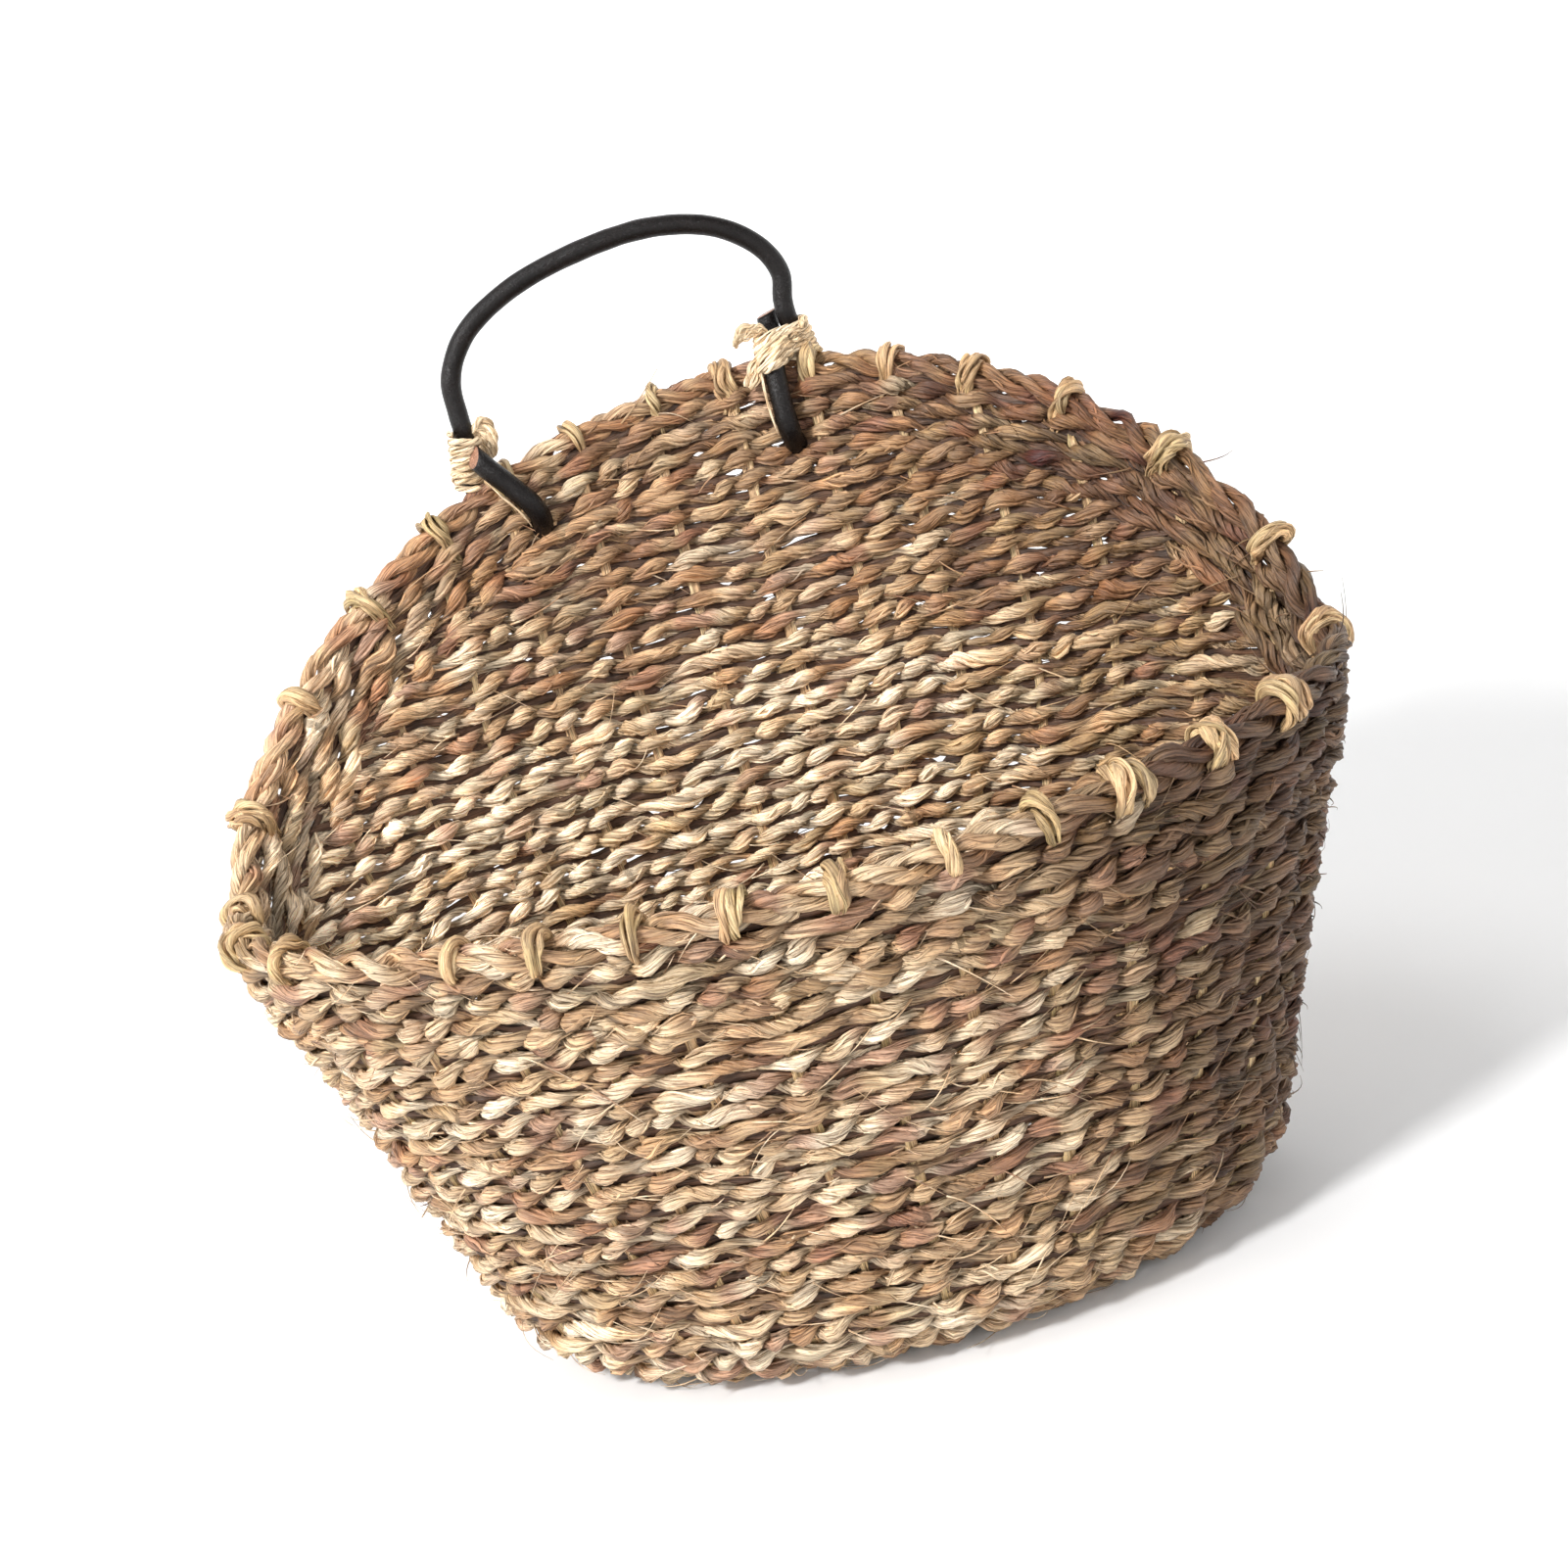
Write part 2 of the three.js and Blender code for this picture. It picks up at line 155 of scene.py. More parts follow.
# Stake straws. Every other stake starts further in on the base.
STRAW_COUNT = 3
STRAW_GAP = (1.3, 2.4)
STRAW_HALF_WIDTH = 1.15
STRAW_FLATNESS = 0.75
STRAW_CLOSENESS = 0.45
STRAW_STARTS = (-44, -26)
STRAW_TOP = 2 * BORDER_RADIUS + 3
STRAW_STEP = 3.0

# Folds over the border: how often 0 to 3 straws of a stake are folded, and a fold's size and arc.
FOLD_SHARES = [0.15, 0.3, 0.35, 0.2]
FOLD_REACH = (0.3, 1.3)
FOLD_SIZE = (1.1, 1.7)
FOLD_START = 225
FOLD_END = (-65, -40)
FOLD_SKEW = 5
FOLD_TWISTS = [-70, 55]
FOLD_STEPS = 14
FOLD_STEP = 1.2

# Loose fibres: their number, the share outside, their lengths, how far they stand off and half thickness.
FIBRE_COUNT = 1300
FIBRES_OUTSIDE = 0.55
FIBRE_LENGTH = (5, 22)
FIBRE_REACH = (1.0, 4.2)
FIBRE_SIZE = (0.13, 0.3)
FIBRE_ARC = (1.6, 2.9)
FIBRE_STEPS = 8
WALL_FACE = 2.4

# The leather cord. Each end goes down outside the wall, through it and up inside: x, z and the distance
# outside the wall's middle. A bend is x, the height where the wall's y is taken, and z.
LEATHER_RADIUS = 3.5
TAIL_RADIUS = 3.8
LEATHER_SIDES = 28
LEATHER_STEP = 1.1
LEFT_BEND = (-77.5, 270, 294)
RIGHT_BEND = (41.5, 280, 302.5)
LEFT_OUTSIDE = [(-78, 282, 3), (-78.5, 276, 7.5), (-77, 268, 11.4), (-71, 258, 11.4), (-64, 250.5, 8)]
LEFT_HOLE = (-61, 248.5, 1.5)
LEFT_INSIDE = [
    (-60.5, 251, -5), (-63, 256.5, -8.4), (-68.5, 264, -9), (-74, 271, -9), (-78.5, 277.5, -8.5),
]
RIGHT_OUTSIDE = [(42.3, 287.5, 7.5), (41.5, 280, 11.4), (38, 266, 11.4), (35, 256.5, 8)]
RIGHT_HOLE = (33.5, 253.5, 1.5)
RIGHT_INSIDE = [
    (33, 256.5, -5), (33, 265, -8.2), (33.5, 279, -8.2),
    (34, 288.5, -5.5), (34.6, 293, -2), (35, 299, -0.5),
]
UNDER_BEND = 6.0

# The loop between the bends: x, z and the share of the way in y.
LOOP = [
    (-76.5, 306, 0.02), (-68, 319, 0.08), (-50, 329.5, 0.25), (-24, 336, 0.45), (4, 337.5, 0.7),
    (25.5, 331.8, 0.88), (38.8, 321, 0.98), (43, 311, 1),
]

# The cut ends: the slope of each face, and how far out and how wide the rings of the raw core are.
CUTS = {"left": (0.3, 0.7, 0.3), "right": (0.4, 0.6, 0)}
CORE_PROUD = np.array([-0.5, 0.05, 0.3])
CORE_SHARES = np.array([0.97, 0.95, 0.82])

# Wraps of twine: the lowest and highest height of each, and its turns, thickness, tilt and highest side.
LEFT_WRAPS = [(267, 275), (271, 279), (275, 283), (279, 287)]
LEFT_WRAP_SHAPE = (3.3, 0.72, 1.6, math.pi)
LEFT_WRAPPED_FROM = 262
LEFT_FRONT = (0.6, -6, 0)
RIGHT_WRAPS = [(284.4, 287.5), (285.5, 289.5), (287.5, 291.5), (289, 293)]
RIGHT_WRAP_SHAPE = (2.3, 0.75, 1.4, 0.0)
RIGHT_RING = (281.4, 284.2)
RIGHT_RING_SHAPE = (2.6, 0.8, 1.2, 0.0)
RIGHT_WRAPPED_FROM = 276
WRAPPED_OVER_BEND = 8
WRAP_STEPS = 34

# Bundles of twine: the origin, the path from there, the step between strands, their number and thickness.
LEFT_ARCH_ORIGIN = (-77, 285.5, -4)
LEFT_ARCH = [(-3, 0, -2), (0, 0, 0), (3, 0.5, 2), (5.5, 1, 0), (6, 1.5, -5), (5, 2, -10)]
LEFT_ARCH_SHAPE = ((0.9, -0.35, 0.8), 6, 0.7)
RIGHT_KNOB = [(3, 0, -1.5), (-2, -1.5, 0.5), (-7, -2, -0.5), (-9.5, -1.5, -3)]
RIGHT_HANGING = [(3, 0, 1), (-1.5, -1.5, -1.5), (-6, -2.2, -4.5), (-10, -2, -9)]
RIGHT_TONGUE = [(0, 0, 0), (0.5, -0.2, 2), (1.2, 0, 4.5)]
RIGHT_BUNDLES = [
    ((-11, -3.5, -8), RIGHT_KNOB, (0, -0.7, 1.1), 4, 0.72),
    ((-9.5, -4, -17), RIGHT_HANGING, (0.9, -0.3, -0.9), 4, 0.8),
    ((4.2, -2.6, -11.5), RIGHT_TONGUE, (1.0, 0.2, 0), 2, 0.8),
]
LEFT_STRIP_SIDE = (-1, -0.15, -0.35)
RIGHT_STRIP_SIDE = (-1, -0.15, -0.1)
TWINE_STEP = 0.9
TWINE_TWIST = 16
WRAP_TWIST = 18
THIN_LEAVES = 3

# The camera, fitted to the basket's outline.
CAMERA_DISTANCE = 650
CAMERA_ELEVATION = 14.5
CAMERA_AZIMUTH = 2.15
CAMERA_ROLL = 15.4
CAMERA_CENTRE = Vector((0, 0, 160))
CAMERA_AIM = Vector((1.3, 0, 164.2))
CAMERA_LENS = 48.1

# Lights: name, place, diameter and power. They and the floor are in metres.
LIGHTS = [
    ("key_light", (-0.72, -0.75, 0.95), 0.22, 17.5),
    ("top_light", (-0.3, -0.2, 1.5), 0.6, 6.5),
    ("back_light", (0.2, 1.2, 1.3), 1.0, 3),
]
LIGHT_AIM = Vector((0, 0, 0.15))
WORLD_STRENGTH = 0.22
FLOOR_RADIUS = 2.2
FLOOR_RISE = 1.0
FLOOR_TOP = 2.6
FLOOR_SIDES = 96
FLOOR_COLOUR = (0.9, 0.9, 0.9, 1)
FLOOR_ROUGHNESS = 0.9
GLOW_FROM = 0.5
GLOW_MOST = 0.6

# Noises over the fibre coordinates: the stretch, detail and roughness, and the stops of place and tint.
BROAD_STOPS = [(0.3, (0.58, 0.5, 0.43)), (0.48, 1), (0.7, (1.3, 1.27, 1.22))]
BROAD_STREAKS = ((0.9, 0.9, 0.07), 2.0, 0.6, BROAD_STOPS)
FINE_STOPS = [(0.38, (0.38, 0.31, 0.25)), (0.47, 1), (0.61, (1.38, 1.36, 1.33))]
FINE_STREAKS = ((2.6, 2.6, 0.11), 3.0, 0.6, FINE_STOPS)
FLECKS = ((2.0, 2.0, 0.8), 2.0, 0.6, [(0.3, (0.72, 0.62, 0.52)), (0.42, 1)])
WORN_PATCHES = ((0.35, 0.35, 0.2), 3.0, 0.6, [(0.3, 0.7), (0.7, 1.35)])
PORES = ((1.5, 1.5, 1.2), 4.0, 0.75, [(0.34, 0.55), (0.5, 1.0), (0.68, 1.25)])
SCUFFS = ((1.0, 1.0, 0.7), 4.0, 0.8, [(0.58, 1.0), (0.66, 2.2), (0.74, 4.0)])
LEATHER_GLOSS = [(0.4, 0.15), (0.66, 0.33)]
LEATHER_SPECULAR = 0.22
LEATHER_BUMPS = (0.8, 0.3)
FIBRE_BUMPS = 0.9


# ---- Camera, light and floor ----


def make_camera():
    azimuth = math.radians(CAMERA_AZIMUTH)
    elevation = math.radians(CAMERA_ELEVATION)
    back = Vector((
        math.sin(azimuth) * math.cos(elevation),
        -math.cos(azimuth) * math.cos(elevation),
        math.sin(elevation),
    ))
    data = bpy.data.cameras.new("camera")
    data.lens = CAMERA_LENS
    camera = bpy.data.objects.new("camera", data)
    place = CAMERA_CENTRE + CAMERA_DISTANCE * back
    camera.location = place * MM
    facing = (CAMERA_AIM - place).to_track_quat("-Z", "Y")
    roll = Matrix.Rotation(math.radians(-CAMERA_ROLL), 4, "Z")
    camera.rotation_euler = (facing.to_matrix().to_4x4() @ roll).to_euler()
    bpy.context.scene.collection.objects.link(camera)
    bpy.context.scene.camera = camera


def make_light():
    for name, place, size, power in LIGHTS:
        data = bpy.data.lights.new(name, "AREA")
        data.shape = "DISK"
        data.size = size
        data.energy = power
        light = bpy.data.objects.new(name, data)
        light.location = place
        light.rotation_euler = (LIGHT_AIM - Vector(place)).to_track_quat("-Z", "Y").to_euler()
        light.visible_camera = False
        bpy.context.scene.collection.objects.link(light)
    world = bpy.data.worlds.new("studio")
    world.use_nodes = True
    background = world.node_tree.nodes["Background"]
    connect(world.node_tree, background, {"Color": (1, 1, 1, 1), "Strength": WORLD_STRENGTH})
    bpy.context.scene.world = world
    bpy.context.scene.view_settings.view_transform = "Standard"


def make_floor():
    """A round pale floor that curves up into a wall far outside the camera."""
    rise, sides = FLOOR_RISE, FLOOR_SIDES
    bends = np.linspace(0, math.pi / 2, 16)
    arc = [(FLOOR_RADIUS + rise * math.sin(bend), rise * (1 - math.cos(bend))) for bend in bends]
    profile = [(0.9, 0.0), *arc, (FLOOR_RADIUS + rise, FLOOR_TOP)]
    turns = np.linspace(0, FULL, sides, endpoint=False)
    points = [(0.0, 0.0, 0.0)] + [(r * math.cos(t), r * math.sin(t), z) for r, z in profile for t in turns]
    faces = [(0, 1 + i, 1 + (i + 1) % sides) for i in range(sides)]
    for ring in range(len(profile) - 1):
        low, high = 1 + ring * sides, 1 + (ring + 1) * sides
        for i in range(sides):
            j = (i + 1) % sides
            faces.append((low + i, high + i, high + j, low + j))
    mesh = bpy.data.meshes.new("floor")
    mesh.from_pydata(points, [], faces)
    mesh.shade_smooth()
    floor = bpy.data.objects.new("floor", mesh)
    bpy.context.scene.collection.objects.link(floor)
    material = bpy.data.materials.new("pale_floor")
    material.use_nodes = True
    mesh.materials.append(material)
    tree = material.node_tree
    connect(tree, tree.nodes["Principled BSDF"], {
        "Base Color": FLOOR_COLOUR,
        "Roughness": FLOOR_ROUGHNESS,
        "Emission Color": (1, 1, 1, 1),
        "Emission Strength": distant_glow(tree),
    })


def distant_glow(tree):
    """Far from the object the backdrop shines a little, as one with its own lamps does."""
    place = add_node(tree, "ShaderNodeTexCoord").outputs["Object"]
    distance = add_node(tree, "ShaderNodeVectorMath", {0: place}, operation="LENGTH").outputs["Value"]
    reach = {"Value": distance, "From Min": GLOW_FROM, "From Max": FLOOR_RADIUS, "To Max": GLOW_MOST}
    return add_node(tree, "ShaderNodeMapRange", reach).outputs["Result"]


# ---- The wall's surface ----


def lerp(low, high, share):
    return low + (high - low) * share


def smooth_step(low, high, value):
    share = np.clip((value - low) / (high - low), 0, 1)
    return share * share * (3 - 2 * share)


def flare_height(z):
    into = np.clip(z - CORNER_HEIGHT + FLARE_EASE, 0, 2 * FLARE_EASE)
    return np.minimum(z - into * into / (4 * FLARE_EASE), CORNER_HEIGHT)


def half_width(z):
    return lerp(BASE_HALF_WIDTH, MOUTH_HALF_WIDTH, flare_height(z) / CORNER_HEIGHT)


def half_depth(z):
    flared = lerp(BASE_HALF_DEPTH, MOUTH_HALF_DEPTH, flare_height(z) / CORNER_HEIGHT)
    return flared + ARCH_LEAN * (z - flare_height(z))


def climb_to(z):
    """The distance up the wall's profile to height z, from where the flat base ends."""
    return FOOT_ARC + z - FOOT_TOP


def middle(turn, climb):
    """Points in the middle of the wall. A climb below zero lies that far in from the flat base's edge."""
    bend = np.clip(climb / FOOT_RADIUS, 0, math.pi / 2)
    inset = FOOT_RADIUS * (1 - np.sin(bend)) + np.maximum(-climb, 0)
    z = HALF_WALL + FOOT_RADIUS * (1 - np.cos(bend)) + np.maximum(climb - FOOT_ARC, 0)
    return np.stack([(half_width(z) - inset) * np.cos(turn), (half_depth(z) - inset) * np.sin(turn), z], -1)


def unit(vectors):
    return vectors / np.linalg.norm(vectors, axis=-1, keepdims=True)


def wall_normal(turn, climb):
    along = middle(turn + NUDGE, climb) - middle(turn - NUDGE, climb)
    up = middle(turn, climb + NUDGE) - middle(turn, climb - NUDGE)
    return unit(np.cross(along, up))


def rim_height(turn):
    s = np.sin(turn)
    rise = np.maximum(s, 0)
    arch = (1 + ARCH_EASE) * rise * rise / (rise + ARCH_EASE)
    front = CORNER_HEIGHT - FRONT_DIP * s * s
    return np.where(s < 0, front, CORNER_HEIGHT + ARCH_RISE * arch * (1 + ARCH_SKEW * np.cos(turn)))


def steepness(turn):
    """How much longer a step along the rim is than its step on plan."""
    along = middle(turn + NUDGE, climb_to(rim_height(turn + NUDGE)))
    along = along - middle(turn - NUDGE, climb_to(rim_height(turn - NUDGE)))
    return np.linalg.norm(along, axis=-1) / np.hypot(along[..., 0], along[..., 1])


def below_rim(turn, depth):
    """The climb that lies a square distance below the rim."""
    return climb_to(rim_height(turn) - depth * steepness(turn))


def turn_at(share):
    """The angle round the oval where equal shares are equal distances."""
    a, b = MOUTH_HALF_WIDTH, MOUTH_HALF_DEPTH
    perimeter = math.pi * (3 * (a + b) - math.sqrt((3 * a + b) * (a + 3 * b)))
    end_stretch = perimeter / (FULL * b)
    side_stretch = perimeter / (FULL * a)
    even = FULL * share
    second = (end_stretch - side_stretch) / 4
    fourth = (end_stretch + side_stretch - 2) / 8
    return even + second * np.sin(2 * even) + fourth * np.sin(4 * even)


def band_depth(turn):
    """How deep the band of rows under the border is, square to the rim."""
    return BORDER_DEPTH + BAND_ROW_COUNT * band_pitch(turn)


def band_pitch(turn):
    return BAND_PITCH * (1 + BACK_WIDENING * np.maximum(np.sin(turn), 0))


# ---- Tracks: paths on the wall that cords follow ----


class Track:
    """A path with its tangent, the wall's outward normal and the direction up the wall."""

    def __init__(self, points, normals, share, closed=False):
        self.points = points
        self.share = share
        self.closed = closed
        self.tangent = slopes(points, closed)
        across = normals - (normals * self.tangent).sum(-1, keepdims=True) * self.tangent
        self.normal = unit(across)
        self.up = np.cross(self.normal, self.tangent)
        self.length = running_sum(step_lengths(points))
        self.total = self.length[-1]
        if closed:
            self.total = self.total + np.linalg.norm(points[0] - points[-1])

    def moved(self, outward, upward):
        points = self.points + outward[:, None] * self.normal + upward[:, None] * self.up
        return Track(points, self.normal, self.share, self.closed)


def step_lengths(points):
    return np.linalg.norm(np.diff(points, axis=0), axis=-1)


def running_sum(values):
    return np.concatenate([[0], np.cumsum(values)])


def slopes(points, closed):
    if closed:
        return unit(np.roll(points, -1, 0) - np.roll(points, 1, 0))
    return unit(np.gradient(points, axis=0))


def wall_track(turn_from, turn_to, climb_of, offset=0.0, closed=False):
    """A path round the wall between two shares of the perimeter, at the climb that climb_of gives."""
    turns = turn_at(np.linspace(turn_from, turn_to, 200))
    length = step_lengths(middle(turns, climb_of(turns))).sum()
    count = max(int(length / STEP), 8)
    share = np.linspace(turn_from, turn_to, count, endpoint=not closed)
    turn = turn_at(share)
    climb = climb_of(turn) + 0 * turn
    normals = wall_normal(turn, climb)
    return Track(middle(turn, climb) + offset * normals, normals, share, closed)


def level_track(ends, climb, closed=True):
    return wall_track(*ends, lambda turn: climb + 0 * turn, closed=closed)


def wander(rng, track, shortest, longest):
    """Smooth random values along a track, about -1 to 1, with waves between two lengths."""
    low = max(1, int(track.total / longest))
    high = max(low + 2, int(track.total / shortest))
    waves = np.arange(low, high + 1)
    phases = rng.uniform(0, FULL, len(waves))
    sizes = rng.normal(0, 1, len(waves))
    along = track.length / track.total
    values = (sizes * np.cos(FULL * np.outer(along, waves) + phases)).sum(-1)
    return values / math.sqrt(len(waves) / 2) / 1.6


# ---- Meshes ----


def pressed(height):
    """Heights above the floor, with what would lie lower squeezed between the floor and SQUEEZE_TOP."""
    squeezed = SQUEEZE_TOP * np.exp((np.minimum(height, SQUEEZE_TOP) - SQUEEZE_TOP) / SQUEEZE_TOP)
    share = smooth_step(0, 2 * SQUEEZE_TOP, height)
    return np.maximum(height, squeezed) - SQUEEZE_DROP * (1 - share)


class Shell:
    """Closed tubes collected into one mesh, with the colour and fibre coordinates of every vertex."""

    def __init__(self, name):
        self.name = name
        self.points, self.dyes, self.fibres = [], [], []
        self.quads, self.triangles = [], [np.zeros((0, 3), int)]
        self.count = 0

    def add(self, points, dyes, fibres):
        start = self.count
        self.points.append(points)
        self.dyes.append(dyes)
        self.fibres.append(fibres)
        self.count += len(points)
        return start

    def tube(self, rng, centre, first, second, radii, sides, dye, closed, length, slant=None):
        """A tube round centre. Its section's half axes are radii[0] along first and radii[1] along second.

        slant, a vector for each section, slides its points along the tube to make an oblique cut.
        """
        rows = len(centre)
        angles = FULL * np.arange(sides) / sides
        cosine, sine = np.cos(angles)[None, :, None], np.sin(angles)[None, :, None]
        along_first = radii[0][:, None, None] * cosine * first[:, None, :]
        along_second = radii[1][:, None, None] * sine * second[:, None, :]
        points = centre[:, None, :] + along_first + along_second
        tangent = slopes(centre, closed)
        if slant is not None:
            slide = ((along_first + along_second) * slant[:, None, :]).sum(-1, keepdims=True)
            points = points + slide * tangent[:, None, :]
        shift = rng.uniform(0, 500, 3)
        fibres = np.empty((rows, sides, 3))
        fibres[..., 0] = radii[0][:, None] * np.cos(angles)
        fibres[..., 1] = radii[1][:, None] * np.sin(angles)
        fibres[..., 2] = length[:, None]
        start = self.add(points.reshape(-1, 3), np.repeat(dye, sides, 0), fibres.reshape(-1, 3) + shift)
        grid = start + np.arange(rows * sides).reshape(rows, sides)
        beside = np.roll(grid, -1, 1)
        corners = [grid, beside, np.roll(beside, -1, 0), np.roll(grid, -1, 0)]
        turned_out = (np.cross(first, second) * tangent).sum() > 0
        quads = np.stack(corners if turned_out else corners[::-1], -1)
        self.quads.append((quads if closed else quads[:-1]).reshape(-1, 4))
        if not closed:
            self.cap(centre[0], dye[0], fibres[0, :, 2].mean(), start, sides, turned_out, shift)
            last = start + (rows - 1) * sides
            self.cap(centre[-1], dye[-1], fibres[-1, :, 2].mean(), last, sides, not turned_out, shift)

    def follow(self, rng, track, radii, sides, dye, slant=None):
        axes = (track.normal, track.up)
        self.tube(rng, track.points, *axes, radii, sides, dye, track.closed, track.length, slant)

    def cap(self, pole, dye, length, ring, sides, reverse, shift):
        top = self.add(pole[None, :], dye[None, :], shift + [[0, 0, length]])
        side = ring + np.arange(sides)
        other = np.roll(side, -1)
        pair = (other, side) if reverse else (side, other)
        self.triangles.append(np.stack([np.full(sides, top), *pair], -1))

    def build(self, material, body, replaces):
        points = np.concatenate(self.points)
        points[:, 2] = pressed(points[:, 2])
        points = points * MM
        quads = np.concatenate(self.quads)
        triangles = np.concatenate(self.triangles)
        mesh = bpy.data.meshes.new(self.name)
        mesh.vertices.add(len(points))
        mesh.vertices.foreach_set("co", points.astype(np.float32).ravel())
        corners = np.concatenate([quads.ravel(), triangles.ravel()])
        mesh.loops.add(len(corners))
        mesh.loops.foreach_set("vertex_index", corners.astype(np.int32))
        starts = np.concatenate([4 * np.arange(len(quads)), 4 * len(quads) + 3 * np.arange(len(triangles))])
        mesh.polygons.add(len(starts))
        mesh.polygons.foreach_set("loop_start", starts.astype(np.int32))
        dyes = np.concatenate(self.dyes)
        colours = np.concatenate([dyes, np.ones((len(dyes), 1))], 1)
        # The vertex colour, which on the seagrass also holds painted light and shade.
        mesh.attributes.new("dye", "FLOAT_COLOR", "POINT").data.foreach_set("color", colours.ravel())
        fibres = np.concatenate(self.fibres)
        mesh.attributes.new("fibre", "FLOAT_VECTOR", "POINT").data.foreach_set("vector", fibres.ravel())
        mesh.update(calc_edges=True)
        mesh.shade_smooth()
        mesh.materials.append(material)
        piece = bpy.data.objects.new(self.name, mesh)
        bpy.context.scene.collection.objects.link(piece)
        if body:
            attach(piece, body)
        if replaces:
            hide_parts(*replaces)
        return piece


# ---- Colours ----


def linear(hexadecimal):
    """Linear red, green and blue of a screen colour."""
    values = np.array([int(hexadecimal[i:i + 2], 16) for i in (1, 3, 5)]) / 255
    return np.where(values <= 0.04045, values / 12.92, ((values + 0.055) / 1.055) ** 2.4)


DYE_DEPTH = np.array([0.86, 0.85, 0.84])
CREAM = linear("#f1e0c6")
STRAW = linear("#dcc09a")
TAN = linear("#b8946f")
BROWN = linear("#836049")
RUSSET = linear("#9a6854")
ORANGE = linear("#bd8759")
OLIVE = linear("#a08c62")
GREENISH = linear("#b5a273")
TWINE = linear("#ead8ba")
TWINE_SHADE = linear("#c8ab84")
LEATHER = linear("#110d0c")
RAW_LEATHER = linear("#8f6a57")


def mix(first, second, share):
    return first + (second - first) * share[:, None]


def seagrass_colour_and_painted_light(rng, track, ruddy=0.0):
    """Patchy colour along a strand: pale in front, russet high in the back, darker and browner on the
    right.

    The darkening on the right, most at the front, is partly painted shade. Painted light makes the low
    back and the back of the left side lighter.
    """
    x, y, z = track.points.T
    back = smooth_step(0, 50, y)
    high = smooth_step(150, 225, z)
    right = smooth_step(25, 135, x)
    light = 0.64 + 0.26 * wander(rng, track, 25, 200) + 0.12 * rng.normal()
    left = smooth_step(60, 150, -x) * back
    low = back * (1 - high)
    # Painted light and shade: lighter low in the back and at the back of the left side; darker on the
    # right, where the grass is also browner.
    light = light - 0.1 * back * high + 0.22 * low - 0.5 * right + 0.2 * left - 0.14 * ruddy
    dark = np.clip(0.5 - light, 0, 1) * 2
    pale = np.clip(light * 2 - 1, 0, 1)
    colour = mix(mix(STRAW + 0 * z[:, None], CREAM, pale), TAN, np.clip(1.4 - 2 * light, 0, 1))
    colour = mix(colour, BROWN, dark * 0.8)
    red = wander(rng, track, 22, 120) + 0.3 * rng.normal() + 0.5 * ruddy + 0.35 * back * high - 0.25
    colour = mix(colour, RUSSET, smooth_step(0.25, 1.1, red) * 0.7)
    warm = wander(rng, track, 30, 150) + 0.8 * back * high
    colour = mix(colour, ORANGE, smooth_step(0.3, 1.2, warm) * 0.4)
    green = wander(rng, track, 40, 200) + 0.5 * low + 0.4 * right
    # Painted shade: darker on the right, most at the front. Painted light: lighter low in the back and at
    # the back of the left side.
    depth = (1 - 0.2 * right) * (1 - 0.4 * right * (1 - back))
    depth = depth * (1 + 0.35 * low + 0.25 * left) * (1 - 0.12 * ruddy)
    return mix(colour, OLIVE, smooth_step(0.4, 1.4, green) * 0.4) * DYE_DEPTH * depth[:, None]


def straw_dye(rng, track):
    light = np.clip(0.55 + 0.35 * wander(rng, track, 20, 100) + 0.2 * rng.normal(), 0, 1)
    tan = np.clip(0.5 + 0.4 * rng.normal() + 0.3 * wander(rng, track, 20, 100), 0, 1)
    return mix(mix(mix(OLIVE + 0 * light[:, None], GREENISH, light), STRAW, light * 0.7), TAN, tan * 0.8)


# ---- Cords ----


def add_strand(shell, rng, track, thickness, dye, twist=LEAF_TWIST, strips=2, leaves=LEAF_COUNT):
    """A bundle of leaves twisted round a track, with loose strips on it."""
    turns = track.length / twist
    if track.closed:
        turns = track.length / track.total * round(track.total / twist)
    start = rng.uniform(0, FULL)
    slack = 0.9 * wander(rng, track, 30, 150)
    for leaf in range(leaves):
        angle = start + FULL * (turns + leaf / leaves) + slack
        size = thickness * (1 + 0.16 * wander(rng, track, 10, 50))
        out = LEAF_OUT * size * (1 + LEAF_LIFT * wander(rng, track, 10, 50))
        add_leaf(shell, rng, track, angle, out, (LEAF_HALF_DEPTH * size, LEAF_HALF_WIDTH * size), dye)
    for _ in range(strips):
        angle = rng.uniform(0, FULL) + FULL * turns + slack
        angle = angle + 1.3 * wander(rng, track, 15, 70)
        out = thickness * (STRIP_OUT + 0.28 * wander(rng, track, 9, 40))
        radii = (STRIP_HALF_DEPTH * thickness, STRIP_HALF_WIDTH * thickness)
        # The strips are painted lighter, a painted sheen.
        add_leaf(shell, rng, track, angle, out, radii, STRIP_SHEEN * dye, STRIP_SIDES)


def add_leaf(shell, rng, track, angle, out, radii, dye, sides=LEAF_SIDES):
    cosine, sine = np.cos(angle)[:, None], np.sin(angle)[:, None]
    radial = cosine * track.normal + sine * track.up
    sideways = cosine * track.up - sine * track.normal
    shade = 1 + 0.13 * rng.normal() + 0.13 * wander(rng, track, 12, 60)
    leaf_colour = dye * np.clip(shade, 0.6, 1.35)[:, None]
    centre = track.points + out[:, None] * radial
    tilt = LEAF_TILT + 0.2 * rng.normal()
    first = math.cos(tilt) * radial + math.sin(tilt) * sideways
    second = math.cos(tilt) * sideways - math.sin(tilt) * radial
    shell.tube(rng, centre, first, second, radii, sides, leaf_colour, track.closed, track.length)


def end_fade(track, reach=9.0):
    """From 0 at an open track's ends to 1 further in."""
    distance = np.minimum(track.length, track.total - track.length)
    return np.sqrt(smooth_step(-0.5, reach, distance))


